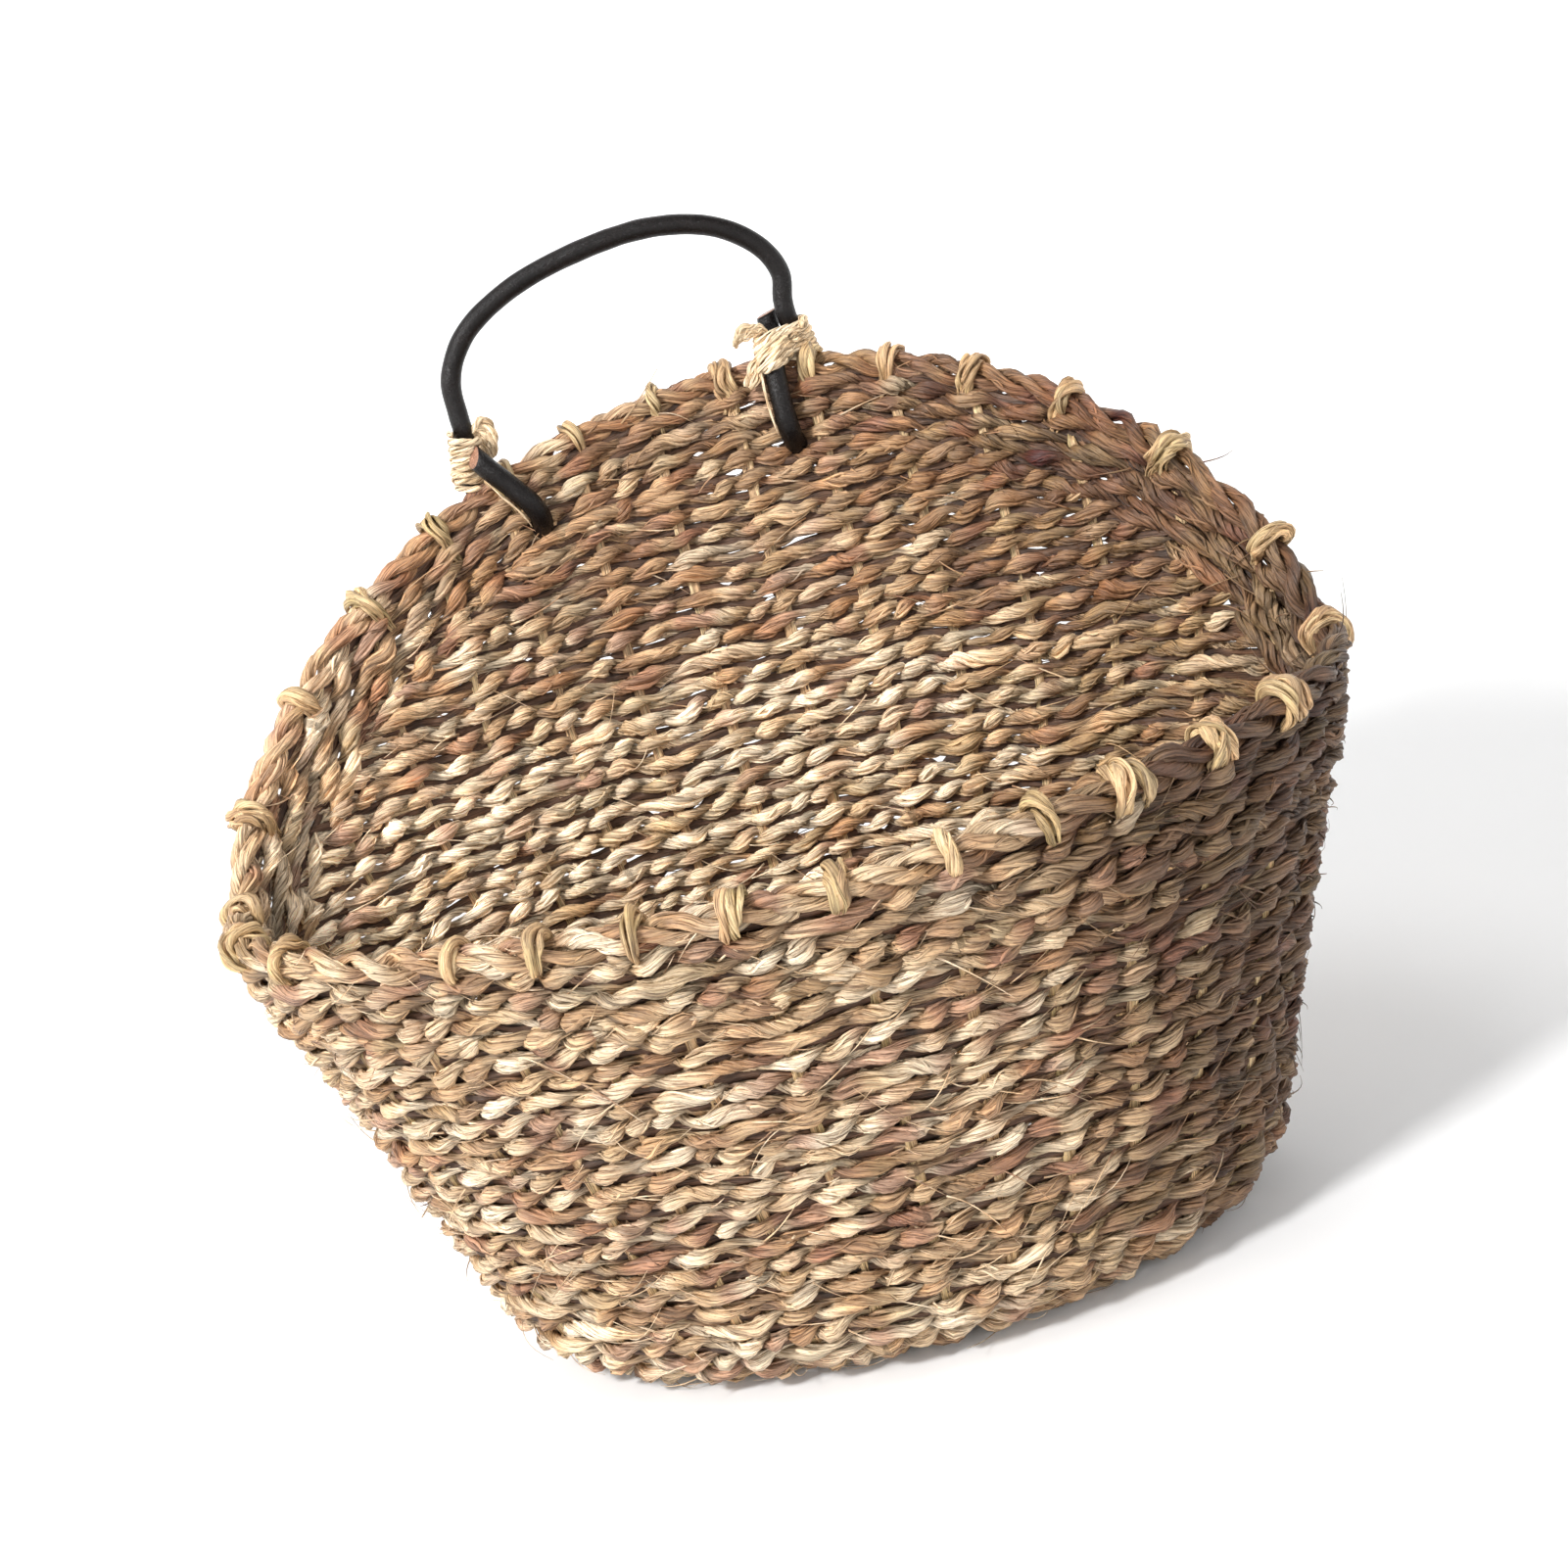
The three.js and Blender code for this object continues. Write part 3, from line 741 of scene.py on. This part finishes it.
def pair_phase(rng, track, stakes, height):
    """How far the pair has turned: one or two half turns between stakes, and whole at each stake."""
    place = stakes * track.share
    marks = np.arange(math.floor(place.min()), math.ceil(place.max()) + 2)
    long_share = lerp(LONG_LOBES_LOW, LONG_LOBES_HIGH, np.clip(height / CORNER_HEIGHT, 0, 1))
    turns = np.where(rng.random(len(marks)) < long_share, 1, 2)
    if track.closed:
        turns[0] = 2 - turns[1:stakes].sum() % 2
    turned = running_sum(turns[:-1])
    between = np.sin(math.pi * place) ** 2
    drift = 0.9 * wander(rng, track, 30, 200) * between + 0.65 * wander(rng, track, 40, 200)
    return math.pi * np.interp(place, marks, turned) + drift


def sag(track, height):
    """Slow waves that neighbouring rows share, so that they bend together and stay closed."""
    around = FULL * track.share
    up = height / 60
    return SAG * (0.6 * np.sin(7 * around + 1.9 * up) + 0.45 * np.sin(13 * around - 2.6 * up + 1)
                  + 0.35 * np.sin(23 * around + 1.4 * up + 2))


def add_pair(shell, rng, track, stakes, kind, ruddy=0.0, height=0.0):
    """Two strands that wind round each other and open at every stake, with a dark strip above them.

    Each strand is painted darker where it crosses the middle of the wall, and the strip is painted shadow.
    """
    thickness, spread, pitch = kind
    fade = np.ones(len(track.share)) if track.closed else end_fade(track)
    wave = sag(track, height) + 0.45 * wander(rng, track, 40, 250)
    opening = STAKE_DEPTH * np.cos(math.pi * stakes * track.share) ** 8
    turned = pair_phase(rng, track, stakes, height)
    for strand_number in range(2):
        phase = turned + math.pi * strand_number
        outward = fade * (PAIR_DEPTH * spread + opening) * np.cos(phase) + 0.5 * wander(rng, track, 15, 70)
        upward = PAIR_RISE * spread * np.sin(phase) + wave + 0.6 * wander(rng, track, 14, 60)
        size = thickness * fade * (1 + SPINDLE * np.cos(2 * phase))
        size = size * (1 + 0.1 * wander(rng, track, 20, 100))
        strand = track.moved(outward, upward)
        # Painted shade: each strand is darker where it crosses the middle of the wall.
        shade = lerp(PAINTED_CREVICE_SHADOW, 1, smooth_step(0.05, 0.8, np.abs(np.cos(phase))))
        add_strand(shell, rng, strand, size, seagrass_colour_and_painted_light(rng, strand, ruddy) * shade[:, None])
    add_painted_shadow_strip(shell, rng, track, wave + pitch / 2, fade)


def add_painted_shadow_strip(shell, rng, track, upward, fade):
    """A thin dark strip of painted shadow in the crevice above a row. It breaks off here and there."""
    line = track.moved(0.5 * wander(rng, track, 12, 60), upward + 0.3 * wander(rng, track, 12, 60))
    size = fade * (0.1 + 0.9 * smooth_step(-1.35, -1.0, wander(rng, track, 12, 60)))
    # Painted shadow: a dark brown for the shade in the crevice.
    dye = BROWN * (0.42 + 0.15 * wander(rng, track, 10, 50))[:, None]
    radii = (PAINTED_SHADOW_STRIP[0] * size, PAINTED_SHADOW_STRIP[1] * size)
    shell.tube(rng, line.points, line.normal, line.up, radii, PAINTED_SHADOW_STRIP_SIDES, dye, track.closed, track.length)


def generator(kind, number=0):
    return np.random.default_rng((SEED, KIND_SEEDS[kind] + number))


# ---- Weave ----


def once_round(rng, stakes):
    """The two ends of a closed row, at one of the stakes, so that the joins of the rows don't line up."""
    start = rng.integers(stakes) / stakes
    return start, start + 1


def row_ends(climb):
    """The shares of the perimeter between which a level row crosses the back and ends under the band."""
    share = np.linspace(-0.25, 0.75, 2001)
    turn = turn_at(share)
    inside = share[below_rim(turn, band_depth(turn)) > climb - TUCK]
    return inside.min(), inside.max()


def row_node(z):
    """The frame's weft node that holds height z of the wall."""
    rows = [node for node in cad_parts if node.startswith(("weft_", "arch_row"))]
    tops = [(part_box(node)[1].z / MM, node) for node in rows]
    return min((top, node) for top, node in tops if top > z)[1]


def level_climbs():
    """The climb of each level row, and whether it is coarse. The last one just meets the band."""
    fine = np.arange(FIRST_WALL_ROW, climb_to(COARSE_START), ROW_PITCH)
    back = math.pi / 2
    top = below_rim(back, band_depth(back) + COARSE_PITCH / 2)
    low = fine[-1] + (ROW_PITCH + COARSE_PITCH) / 2
    coarse = np.linspace(low, top, round((top - low) / COARSE_PITCH) + 1)
    return [(climb, False) for climb in fine] + [(climb, True) for climb in coarse]


def level_rows(material):
    """Rows from the foot upwards. Those that meet the band at the front cross only the back."""
    for number, (climb, coarse) in enumerate(level_climbs()):
        rng = generator("level", number)
        shell = Shell(f"weft_row_{number + 1:02d}")
        low_share, high_share = row_ends(climb)
        closed = high_share - low_share > 0.99
        ends = once_round(rng, STAKE_COUNT) if closed else (low_share, high_share)
        kind = COARSE_ROW if coarse else FINE_ROW
        add_pair(shell, rng, level_track(ends, climb, closed), STAKE_COUNT, kind, height=climb)
        z = max(climb - climb_to(0), 0)
        shell.build(material, "basket", [row_node(z)])


def band_track(ends, number):
    """The path of a row of the band. They are counted down from the border."""

    def climb_of(turn):
        return below_rim(turn, BORDER_DEPTH + (number + 0.5) * band_pitch(turn))

    return wall_track(*ends, climb_of, BAND_OFFSET, closed=True)


def band_rows(material):
    """Thicker, redder rows that follow the rim under the border."""
    for number in range(BAND_ROW_COUNT):
        rng = generator("band", number)
        shell = Shell(f"band_row_{number + 1}")
        track = band_track(once_round(rng, STAKE_COUNT), number)
        add_pair(shell, rng, track, STAKE_COUNT, BAND_ROW, BAND_RUDDY, CORNER_HEIGHT)
        shell.build(material, "basket", ["rim_band"])


def rim_border(material):
    """Cords laid together along the rim, pinched where the stakes end."""
    rng = generator("border")
    shell = Shell("rim_border_rope")
    track = wall_track(0, 1, lambda turn: below_rim(turn, BORDER_RADIUS), BORDER_OFFSET, closed=True)
    place = track.share * STAKE_COUNT
    nearest = np.abs(place - np.round(place)) * track.total / STAKE_COUNT
    pinch = 1 - PINCH * np.exp(-(nearest / PINCH_REACH) ** 2)
    turned = round(track.total / BORDER_LAY) * track.length / track.total
    for cord in range(BORDER_CORDS):
        angle = -FULL * (turned + cord / BORDER_CORDS) + 0.5 * wander(rng, track, 50, 200)
        reach = (BORDER_REACH + 0.4 * wander(rng, track, 20, 90)) * pinch
        strand = track.moved(reach * np.cos(angle), reach * np.sin(angle))
        size = BORDER_CORD * pinch * (1 + 0.14 * wander(rng, track, 14, 70))
        add_strand(shell, rng, strand, size, seagrass_colour_and_painted_light(rng, strand, BORDER_RUDDY), BORDER_TWIST)
    # A thin dark strip of painted shadow under the border.
    under = np.full(len(track.share), BORDER_RADIUS - BORDER_DEPTH)
    add_painted_shadow_strip(shell, rng, track, under, pinch)
    shell.build(material, "basket", ["rim_border"])


def base_rows(material):
    """Oval rows from the edge of the flat base to its middle."""
    for number in range(BASE_ROW_COUNT):
        rng = generator("base", number)
        shell = Shell(f"base_row_{number + 1}")
        climb = FIRST_WALL_ROW - BASE_PITCH * (number + 1)
        stakes_met = max(round(level_track((0, 1), climb).total / BASE_STAKE_STEP), FEWEST_STAKES)
        track = level_track(once_round(rng, stakes_met), climb)
        add_pair(shell, rng, track, stakes_met, BASE_ROW)
        shell.build(material, "basket", ["base_mat"])


def stake_straws(material):
    """Flat straws side by side, up inside the wall. Most turn over the border and end outside it."""
    for number in range(STAKE_COUNT):
        rng = generator("stake", number)
        shell = Shell(f"stake_straws_{number + 1:02d}")
        folded = rng.choice(len(FOLD_SHARES), p=FOLD_SHARES)
        apart = rng.uniform(*STRAW_GAP)
        for straw in range(STRAW_COUNT):
            add_straw(shell, rng, number, apart * (straw - 1), straw < folded)
        shell.build(material, "basket", [f"stake_{number + 1:02d}"])


def rim_heading(turn):
    """The direction along the middle of the border."""
    ahead, behind = turn + NUDGE, turn - NUDGE
    return unit(middle(ahead, below_rim(ahead, 5)) - middle(behind, below_rim(behind, 5)))


def add_straw(shell, rng, number, apart, folded):
    """One straw of a stake. A folded one turns over the border; the others end under it."""
    turn = turn_at(number / STAKE_COUNT)
    climbs = np.arange(STRAW_STARTS[number % 2], below_rim(turn, STRAW_TOP), STRAW_STEP)
    rim_climb = below_rim(turn, BORDER_RADIUS)
    out = wall_normal(turn, rim_climb)
    along = rim_heading(turn)
    rise = middle(turn, climbs) + STRAW_CLOSENESS * apart * along
    track = Track(rise, wall_normal(turn, climbs), np.linspace(0, 1, len(rise)))
    wide = STRAW_HALF_WIDTH * (1 + 0.12 * wander(rng, track, 20, 80)) * end_fade(track, 4)
    shell.follow(rng, track, (STRAW_FLATNESS * wide, wide), STRAW_SIDES, straw_dye(rng, track))
    if folded:
        hub = middle(turn, rim_climb) + BORDER_OFFSET * out
        add_fold(shell, rng, hub, out, along, apart)


def add_fold(shell, rng, hub, out, along, apart):
    """The flattened end of a straw: up inside the border, over it and tucked in below it outside."""
    lift = np.cross(out, along)
    reach = BORDER_RADIUS + rng.uniform(*FOLD_REACH)
    angles = np.radians(np.linspace(FOLD_START, rng.uniform(*FOLD_END), FOLD_STEPS))
    loop = hub + reach * (np.cos(angles)[:, None] * out + np.sin(angles)[:, None] * lift)
    start = hub - 1.5 * out - (reach + 6) * lift
    tuck = hub + 0.1 * reach * out - 1.5 * reach * lift
    skew = rng.uniform(-FOLD_SKEW, FOLD_SKEW)
    shift = np.concatenate([[0], np.linspace(0, skew, len(angles)), [skew]])
    path = np.concatenate([start[None, :], loop, tuck[None, :]]) + (apart + shift)[:, None] * along
    track = free_track(spline(path, FOLD_STEP), -out)
    swell = np.sin(math.pi * np.clip(track.share * 1.1 - 0.05, 0.03, 0.97)) ** 0.5
    size = rng.uniform(*FOLD_SIZE) * swell * (1 + 0.16 * wander(rng, track, 6, 40))
    add_strand(shell, rng, track, size, straw_dye(rng, track), rng.choice(FOLD_TWISTS), 0, THIN_LEAVES)


# ---- Leather handle and its bindings ----


def spline(points, step):
    """Even samples of a smooth curve through the points."""
    points = np.array(points, float)
    knots = running_sum(np.sqrt(step_lengths(points)))
    heading = np.gradient(points, knots, axis=0)
    fine = np.linspace(0, knots[-1], 60 * len(points))
    piece = np.clip(np.searchsorted(knots, fine, side="right") - 1, 0, len(knots) - 2)
    span = (knots[piece + 1] - knots[piece])[:, None]
    t = (fine - knots[piece])[:, None] / span
    near = (2 * t ** 3 - 3 * t ** 2 + 1) * points[piece] + (t ** 3 - 2 * t ** 2 + t) * span * heading[piece]
    piece = piece + 1
    far = (3 * t ** 2 - 2 * t ** 3) * points[piece] + (t ** 3 - t ** 2) * span * heading[piece]
    curve = near + far
    length = running_sum(step_lengths(curve))
    even = np.linspace(0, length[-1], max(int(length[-1] / step), 6))
    return np.stack([np.interp(even, length, curve[:, axis]) for axis in range(3)], -1)


def free_track(points, first):
    """A track along any open path. Its normals start near first and are carried along without twisting."""
    tangent = slopes(points, False)
    normals = np.empty_like(points)
    normal = np.array(first, float)
    for index, heading in enumerate(tangent):
        normal = unit(normal - (normal @ heading) * heading)
        normals[index] = normal
    return Track(points, normals, np.linspace(0, 1, len(points)))


def wall_point(place):
    """A point on the back wall from its x, z and distance outside the wall's middle."""
    x, z, offset = place
    turn = math.acos(x / half_width(z))
    return middle(turn, climb_to(z)) + offset * wall_normal(turn, climb_to(z))


def bend_point(bend):
    x, wall_z, z = bend
    point = wall_point((x, wall_z, 0))
    point[2] = z
    return point


def leather_route():
    """The whole cord from one cut end to the other, and where it passes through the two holes."""
    left, right = bend_point(LEFT_BEND), bend_point(RIGHT_BEND)
    under = np.array([0, 0, UNDER_BEND])
    loop = [np.array([x, lerp(left[1], right[1], share), z]) for x, z, share in LOOP]
    left_end = [wall_point(place) for place in [*LEFT_OUTSIDE, LEFT_HOLE, *LEFT_INSIDE]]
    right_end = [wall_point(place) for place in [*RIGHT_OUTSIDE, RIGHT_HOLE, *RIGHT_INSIDE]]
    route = [*left_end[::-1], left - under, left, *loop, right, right - under, *right_end]
    points = spline(route, LEATHER_STEP)
    holes = [wall_point(LEFT_HOLE), wall_point(RIGHT_HOLE)]
    return points, [int(np.linalg.norm(points - hole, axis=-1).argmin()) for hole in holes]


def add_leather(shell, rng, track, radius=LEATHER_RADIUS, cut=None):
    """A round leather cord. cut is the slope of the cut across its last end, towards a direction."""
    size = radius * (1 + 0.02 * wander(rng, track, 10, 60))
    shade = 1 + 0.22 * wander(rng, track, 12, 90)
    dye = LEATHER * np.clip(shade, 0.6, 1.5)[:, None]
    slant = None
    if cut is not None:
        reach = 1 - smooth_step(0.5, 9, track.total - track.length)
        slant = reach[:, None] * np.array(cut)
    shell.follow(rng, track, (size, size), LEATHER_SIDES, dye, slant)
    if cut is None:
        return
    rings = len(CORE_PROUD)
    core = track.points[-1] + CORE_PROUD[:, None] * track.tangent[-1]
    core_size = radius * CORE_SHARES
    *axes, slant = (np.repeat(values[-1:], rings, 0) for values in (track.normal, track.up, slant))
    raw = np.repeat(RAW_LEATHER[None, :], rings, 0)
    shell.tube(rng, core, *axes, (core_size, core_size), LEATHER_SIDES, raw, False, CORE_PROUD, slant)


def leather_handle(material):
    """The cord from hole to hole, with its two bends, and its fixed ends inside the basket."""
    points, (left_hole, right_hole) = leather_route()
    rng = generator("leather")
    shell = Shell("handle_cord")
    add_leather(shell, rng, free_track(points[left_hole:right_hole + 1], BACKWARD))
    cord = shell.build(material, None, ["handle_loop", "handle_end_left", "handle_end_right"])
    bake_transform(cord)
    left_tail, right_tail = points[left_hole::-1], points[right_hole:]
    for side, tail in (("left", left_tail), ("right", right_tail)):
        shell = Shell(f"handle_tail_{side}")
        add_leather(shell, rng, free_track(tail, FORWARD), TAIL_RADIUS, CUTS[side])
        shell.build(material, "basket", [f"handle_end_{side}"])
    return left_tail, right_tail, points[left_hole:right_hole + 1]


def twine_dye(rng, track):
    light = np.clip(0.6 + 0.35 * wander(rng, track, 8, 50) + 0.2 * rng.normal(), 0, 1)
    colour = mix(TWINE_SHADE + 0 * light[:, None], TWINE, light)
    return mix(colour, CREAM, smooth_step(0.75, 1, light) * 0.5)


def add_bundle(shell, rng, points, spread, strands, thickness):
    """Thin strands side by side along a smooth path. spread is the step from one strand to the next."""
    for strand in range(strands):
        track = free_track(spline(points, TWINE_STEP), FORWARD)
        aside = (strand - (strands - 1) / 2) * np.array(spread)
        close = 0.45 + 0.55 * np.sin(math.pi * np.clip(track.share, 0.02, 1)) ** 0.5
        drift = np.stack([0.3 * wander(rng, track, 6, 30) for _ in range(3)], -1)
        moved = Track(track.points + close[:, None] * aside + drift, track.normal, track.share)
        size = thickness * np.sqrt(np.sin(math.pi * lerp(0.04, 0.93, track.share)))
        add_strand(shell, rng, moved, size, twine_dye(rng, moved), TWINE_TWIST, 0, THIN_LEAVES)


def add_wraps(shell, rng, run, tail, low, high, turns, thickness, tilt, tilt_turn):
    """Turns of twine round two runs of leather side by side, higher on the side that tilt_turn faces."""
    steps = int(turns * WRAP_STEPS)
    turn = np.linspace(0, FULL * turns, steps) + rng.uniform(0, 6)
    share = np.linspace(0, 1, steps)
    z = lerp(low, high, share) + tilt * np.cos(turn - tilt_turn)
    face = np.stack([np.cos(turn), np.sin(turn), 0 * turn], -1)
    near, far = at_heights(run, z), at_heights(tail, z)
    apart = (near - far)[:, :2]
    side = (apart * face[:, :2]).sum(-1) / np.linalg.norm(apart, axis=-1)
    centre = mix(far, near, smooth_step(-0.45, 0.45, side))
    track = Track(centre + (TAIL_RADIUS + 1.2 * thickness) * face, face, share)
    drift = 0.3 * wander(rng, track, 10, 50)
    track = track.moved(np.abs(drift), drift)
    size = thickness * (1 + 0.12 * wander(rng, track, 8, 40)) * end_fade(track, 5)
    add_strand(shell, rng, track, size, twine_dye(rng, track), WRAP_TWIST, 0, THIN_LEAVES)


def at_heights(line, z):
    """Where a line that rises or falls passes the heights."""
    line = line[np.argsort(line[:, 2])]
    return np.stack([np.interp(z, line[:, 2], line[:, axis]) for axis in range(2)] + [z], -1)


def wrapped_part(run, low, bend):
    """The part of the cord that the twine goes round."""
    return run[(run[:, 2] > low) & (run[:, 2] < bend[2] + WRAPPED_OVER_BEND)]


def bindings(material, left_tail, right_tail, cord):
    """Twine round both runs of leather at each side, with its loose bundles and a strip of grass."""
    rng = generator("twine")
    half = len(cord) // 2
    shell = Shell("binding_twine_left")
    run = wrapped_part(cord[:half], LEFT_WRAPPED_FROM, bend_point(LEFT_BEND))
    for heights in LEFT_WRAPS:
        add_wraps(shell, rng, run, run + LEFT_FRONT, *heights, *LEFT_WRAP_SHAPE)
    edge = wall_point(LEFT_ARCH_ORIGIN)
    add_bundle(shell, rng, [edge + step for step in LEFT_ARCH], *LEFT_ARCH_SHAPE)
    add_strip(shell, rng, left_tail, LEFT_STRIP_SIDE)
    shell.build(material, "basket", ["binding_left"])
    shell = Shell("binding_twine_right")
    bend = bend_point(RIGHT_BEND)
    run = wrapped_part(cord[half:], RIGHT_WRAPPED_FROM, bend)
    tail = right_tail[len(right_tail) // 2:]
    for heights in RIGHT_WRAPS:
        add_wraps(shell, rng, run, tail, *heights, *RIGHT_WRAP_SHAPE)
    add_wraps(shell, rng, run, tail, *RIGHT_RING, *RIGHT_RING_SHAPE)
    for origin, path, *shape in RIGHT_BUNDLES:
        add_bundle(shell, rng, [bend + origin + step for step in path], *shape)
    add_strip(shell, rng, right_tail, RIGHT_STRIP_SIDE)
    shell.build(material, "basket", ["binding_right"])


def add_strip(shell, rng, tail, side):
    """A flat pale strip of grass that lies along one edge of the leather inside the basket."""
    count = len(tail)
    part = tail[count // 6:count * 3 // 4]
    track = free_track(part, side)
    reach = TAIL_RADIUS + 0.5 + 0.7 * np.sin(math.pi * track.share)
    line = track.points + reach[:, None] * unit(np.array(side, float))
    wide = 1.5 * end_fade(track, 6) * (1 + 0.15 * wander(rng, track, 10, 40))
    strip = Track(line, track.up, track.share)
    shell.follow(rng, strip, (wide, 0.3 * wide), STRAW_SIDES, twine_dye(rng, strip))


def loose_fibres(material):
    """Fine broken fibres that stand out of the weave on both faces and along the border."""
    rng = generator("fibre")
    shell = Shell("loose_fibres")
    for _ in range(FIBRE_COUNT):
        turn = turn_at(rng.uniform(0, 1))
        climb = rng.uniform(2, below_rim(turn, 1))
        side = 1 if rng.random() < FIBRES_OUTSIDE else -1
        normal = side * wall_normal(turn, climb)
        start = middle(turn, climb) + WALL_FACE * normal
        along = unit(middle(turn + NUDGE, climb) - middle(turn - NUDGE, climb))
        along = along * (1 if rng.random() < 0.5 else -1)
        up = np.cross(normal, along)
        length = rng.uniform(*FIBRE_LENGTH)
        steps = np.linspace(0, 1, FIBRE_STEPS)[:, None]
        reach = rng.uniform(*FIBRE_REACH)
        bend = rng.normal(0, 0.35, 2)
        path = start + length * steps * along + length * (bend[0] * steps + bend[1] * steps ** 2) * up
        path = path + reach * np.sin(rng.uniform(*FIBRE_ARC) * steps) * normal
        track = Track(path, np.repeat(normal[None, :], FIBRE_STEPS, 0), steps[:, 0])
        size = rng.uniform(*FIBRE_SIZE) * (1 - 0.75 * steps[:, 0])
        dye = seagrass_colour_and_painted_light(rng, track) * rng.uniform(0.8, 1.25)
        shell.follow(rng, track, (size, size * 1.5), FIBRE_SIDES, dye)
    shell.build(material, "basket", [])


# ---- Materials ----


def connect(tree, node, inputs):
    """Give a node's inputs their values, or link them to the outputs of other nodes."""
    for name, source in inputs.items():
        if isinstance(source, bpy.types.NodeSocket):
            tree.links.new(source, node.inputs[name])
        else:
            node.inputs[name].default_value = source


def add_node(tree, kind, inputs=None, **settings):
    node = tree.nodes.new(kind)
    for key, value in settings.items():
        setattr(node, key, value)
    connect(tree, node, inputs or {})
    return node


def new_material(name):
    """A material and its shader, with the vertex colour and the fibre coordinates that the meshes carry."""
    material = bpy.data.materials.new(name)
    material.use_nodes = True
    tree = material.node_tree
    dye = add_node(tree, "ShaderNodeAttribute", attribute_name="dye").outputs["Color"]
    fibre = add_node(tree, "ShaderNodeAttribute", attribute_name="fibre").outputs["Vector"]
    return material, tree, tree.nodes["Principled BSDF"], dye, fibre


def ramp(tree, value, stops):
    node = add_node(tree, "ShaderNodeValToRGB", {"Fac": value})
    elements = node.color_ramp.elements
    while len(elements) < len(stops):
        elements.new(0.5)
    for element, (place, level) in zip(elements, stops, strict=True):
        element.position = place
        element.color = (*level, 1) if isinstance(level, tuple) else (level, level, level, 1)
    return node.outputs["Color"]


def tinted(tree, colour, fibre, noise):
    """The colour multiplied by the tint of a noise, and the noise itself."""
    scale, detail, roughness, stops = noise
    stretch = add_node(tree, "ShaderNodeVectorMath", {0: fibre, 1: scale}, operation="MULTIPLY")
    shape = {"Vector": stretch.outputs[0], "Scale": 1.0, "Detail": detail, "Roughness": roughness}
    value = add_node(tree, "ShaderNodeTexNoise", shape).outputs["Fac"]
    inputs = {"Factor": 1.0, "A": colour, "B": ramp(tree, value, stops)}
    node = add_node(tree, "ShaderNodeMix", inputs, data_type="RGBA", blend_type="MULTIPLY")
    return node.outputs["Result"], value


def bumps(tree, height, strength, distance):
    inputs = {"Height": height, "Strength": strength, "Distance": distance * MM}
    return add_node(tree, "ShaderNodeBump", inputs).outputs["Normal"]


def fibre_material(name, roughness, relief):
    """Dried leaf fibre: its colour comes from the vertex colour, which on the seagrass also holds painted
    light and shade, with streaks along the fibre.
    """
    material, tree, shader, dye, fibre = new_material(name)
    colour, broad = tinted(tree, dye, fibre, BROAD_STREAKS)
    colour, fine = tinted(tree, colour, fibre, FINE_STREAKS)
    colour, _ = tinted(tree, colour, fibre, FLECKS)
    gloss = ramp(tree, fine, [(0.3, roughness + 0.22), (0.7, roughness - 0.08)])
    height = add_node(tree, "ShaderNodeMath", {0: fine, 1: broad}, operation="ADD").outputs[0]
    normal = bumps(tree, height, FIBRE_BUMPS, relief)
    connect(tree, shader, {"Base Color": colour, "Roughness": gloss, "Normal": normal})
    return material


def leather_material():
    """Dark rubbed leather with worn patches, fine pores and a few pale scuffs."""
    material, tree, shader, dye, fibre = new_material("handle_leather")
    colour, _ = tinted(tree, dye, fibre, WORN_PATCHES)
    colour, pores = tinted(tree, colour, fibre, PORES)
    colour, scuffs = tinted(tree, colour, fibre, SCUFFS)
    gloss = ramp(tree, scuffs, LEATHER_GLOSS)
    normal = bumps(tree, pores, *LEATHER_BUMPS)
    connect(tree, shader, {"Base Color": colour, "Roughness": gloss, "Normal": normal})
    connect(tree, shader, {"Specular IOR Level": LEATHER_SPECULAR})
    return material


def main():
    make_camera()
    make_light()
    make_floor()
    seagrass = fibre_material("seagrass_fibre", 0.4, 0.7)
    base_rows(seagrass)
    level_rows(seagrass)
    band_rows(seagrass)
    rim_border(seagrass)
    stake_straws(fibre_material("stake_straw", 0.4, 0.5))
    bindings(fibre_material("twine_fibre", 0.5, 0.3), *leather_handle(leather_material()))
    loose_fibres(seagrass)


main()
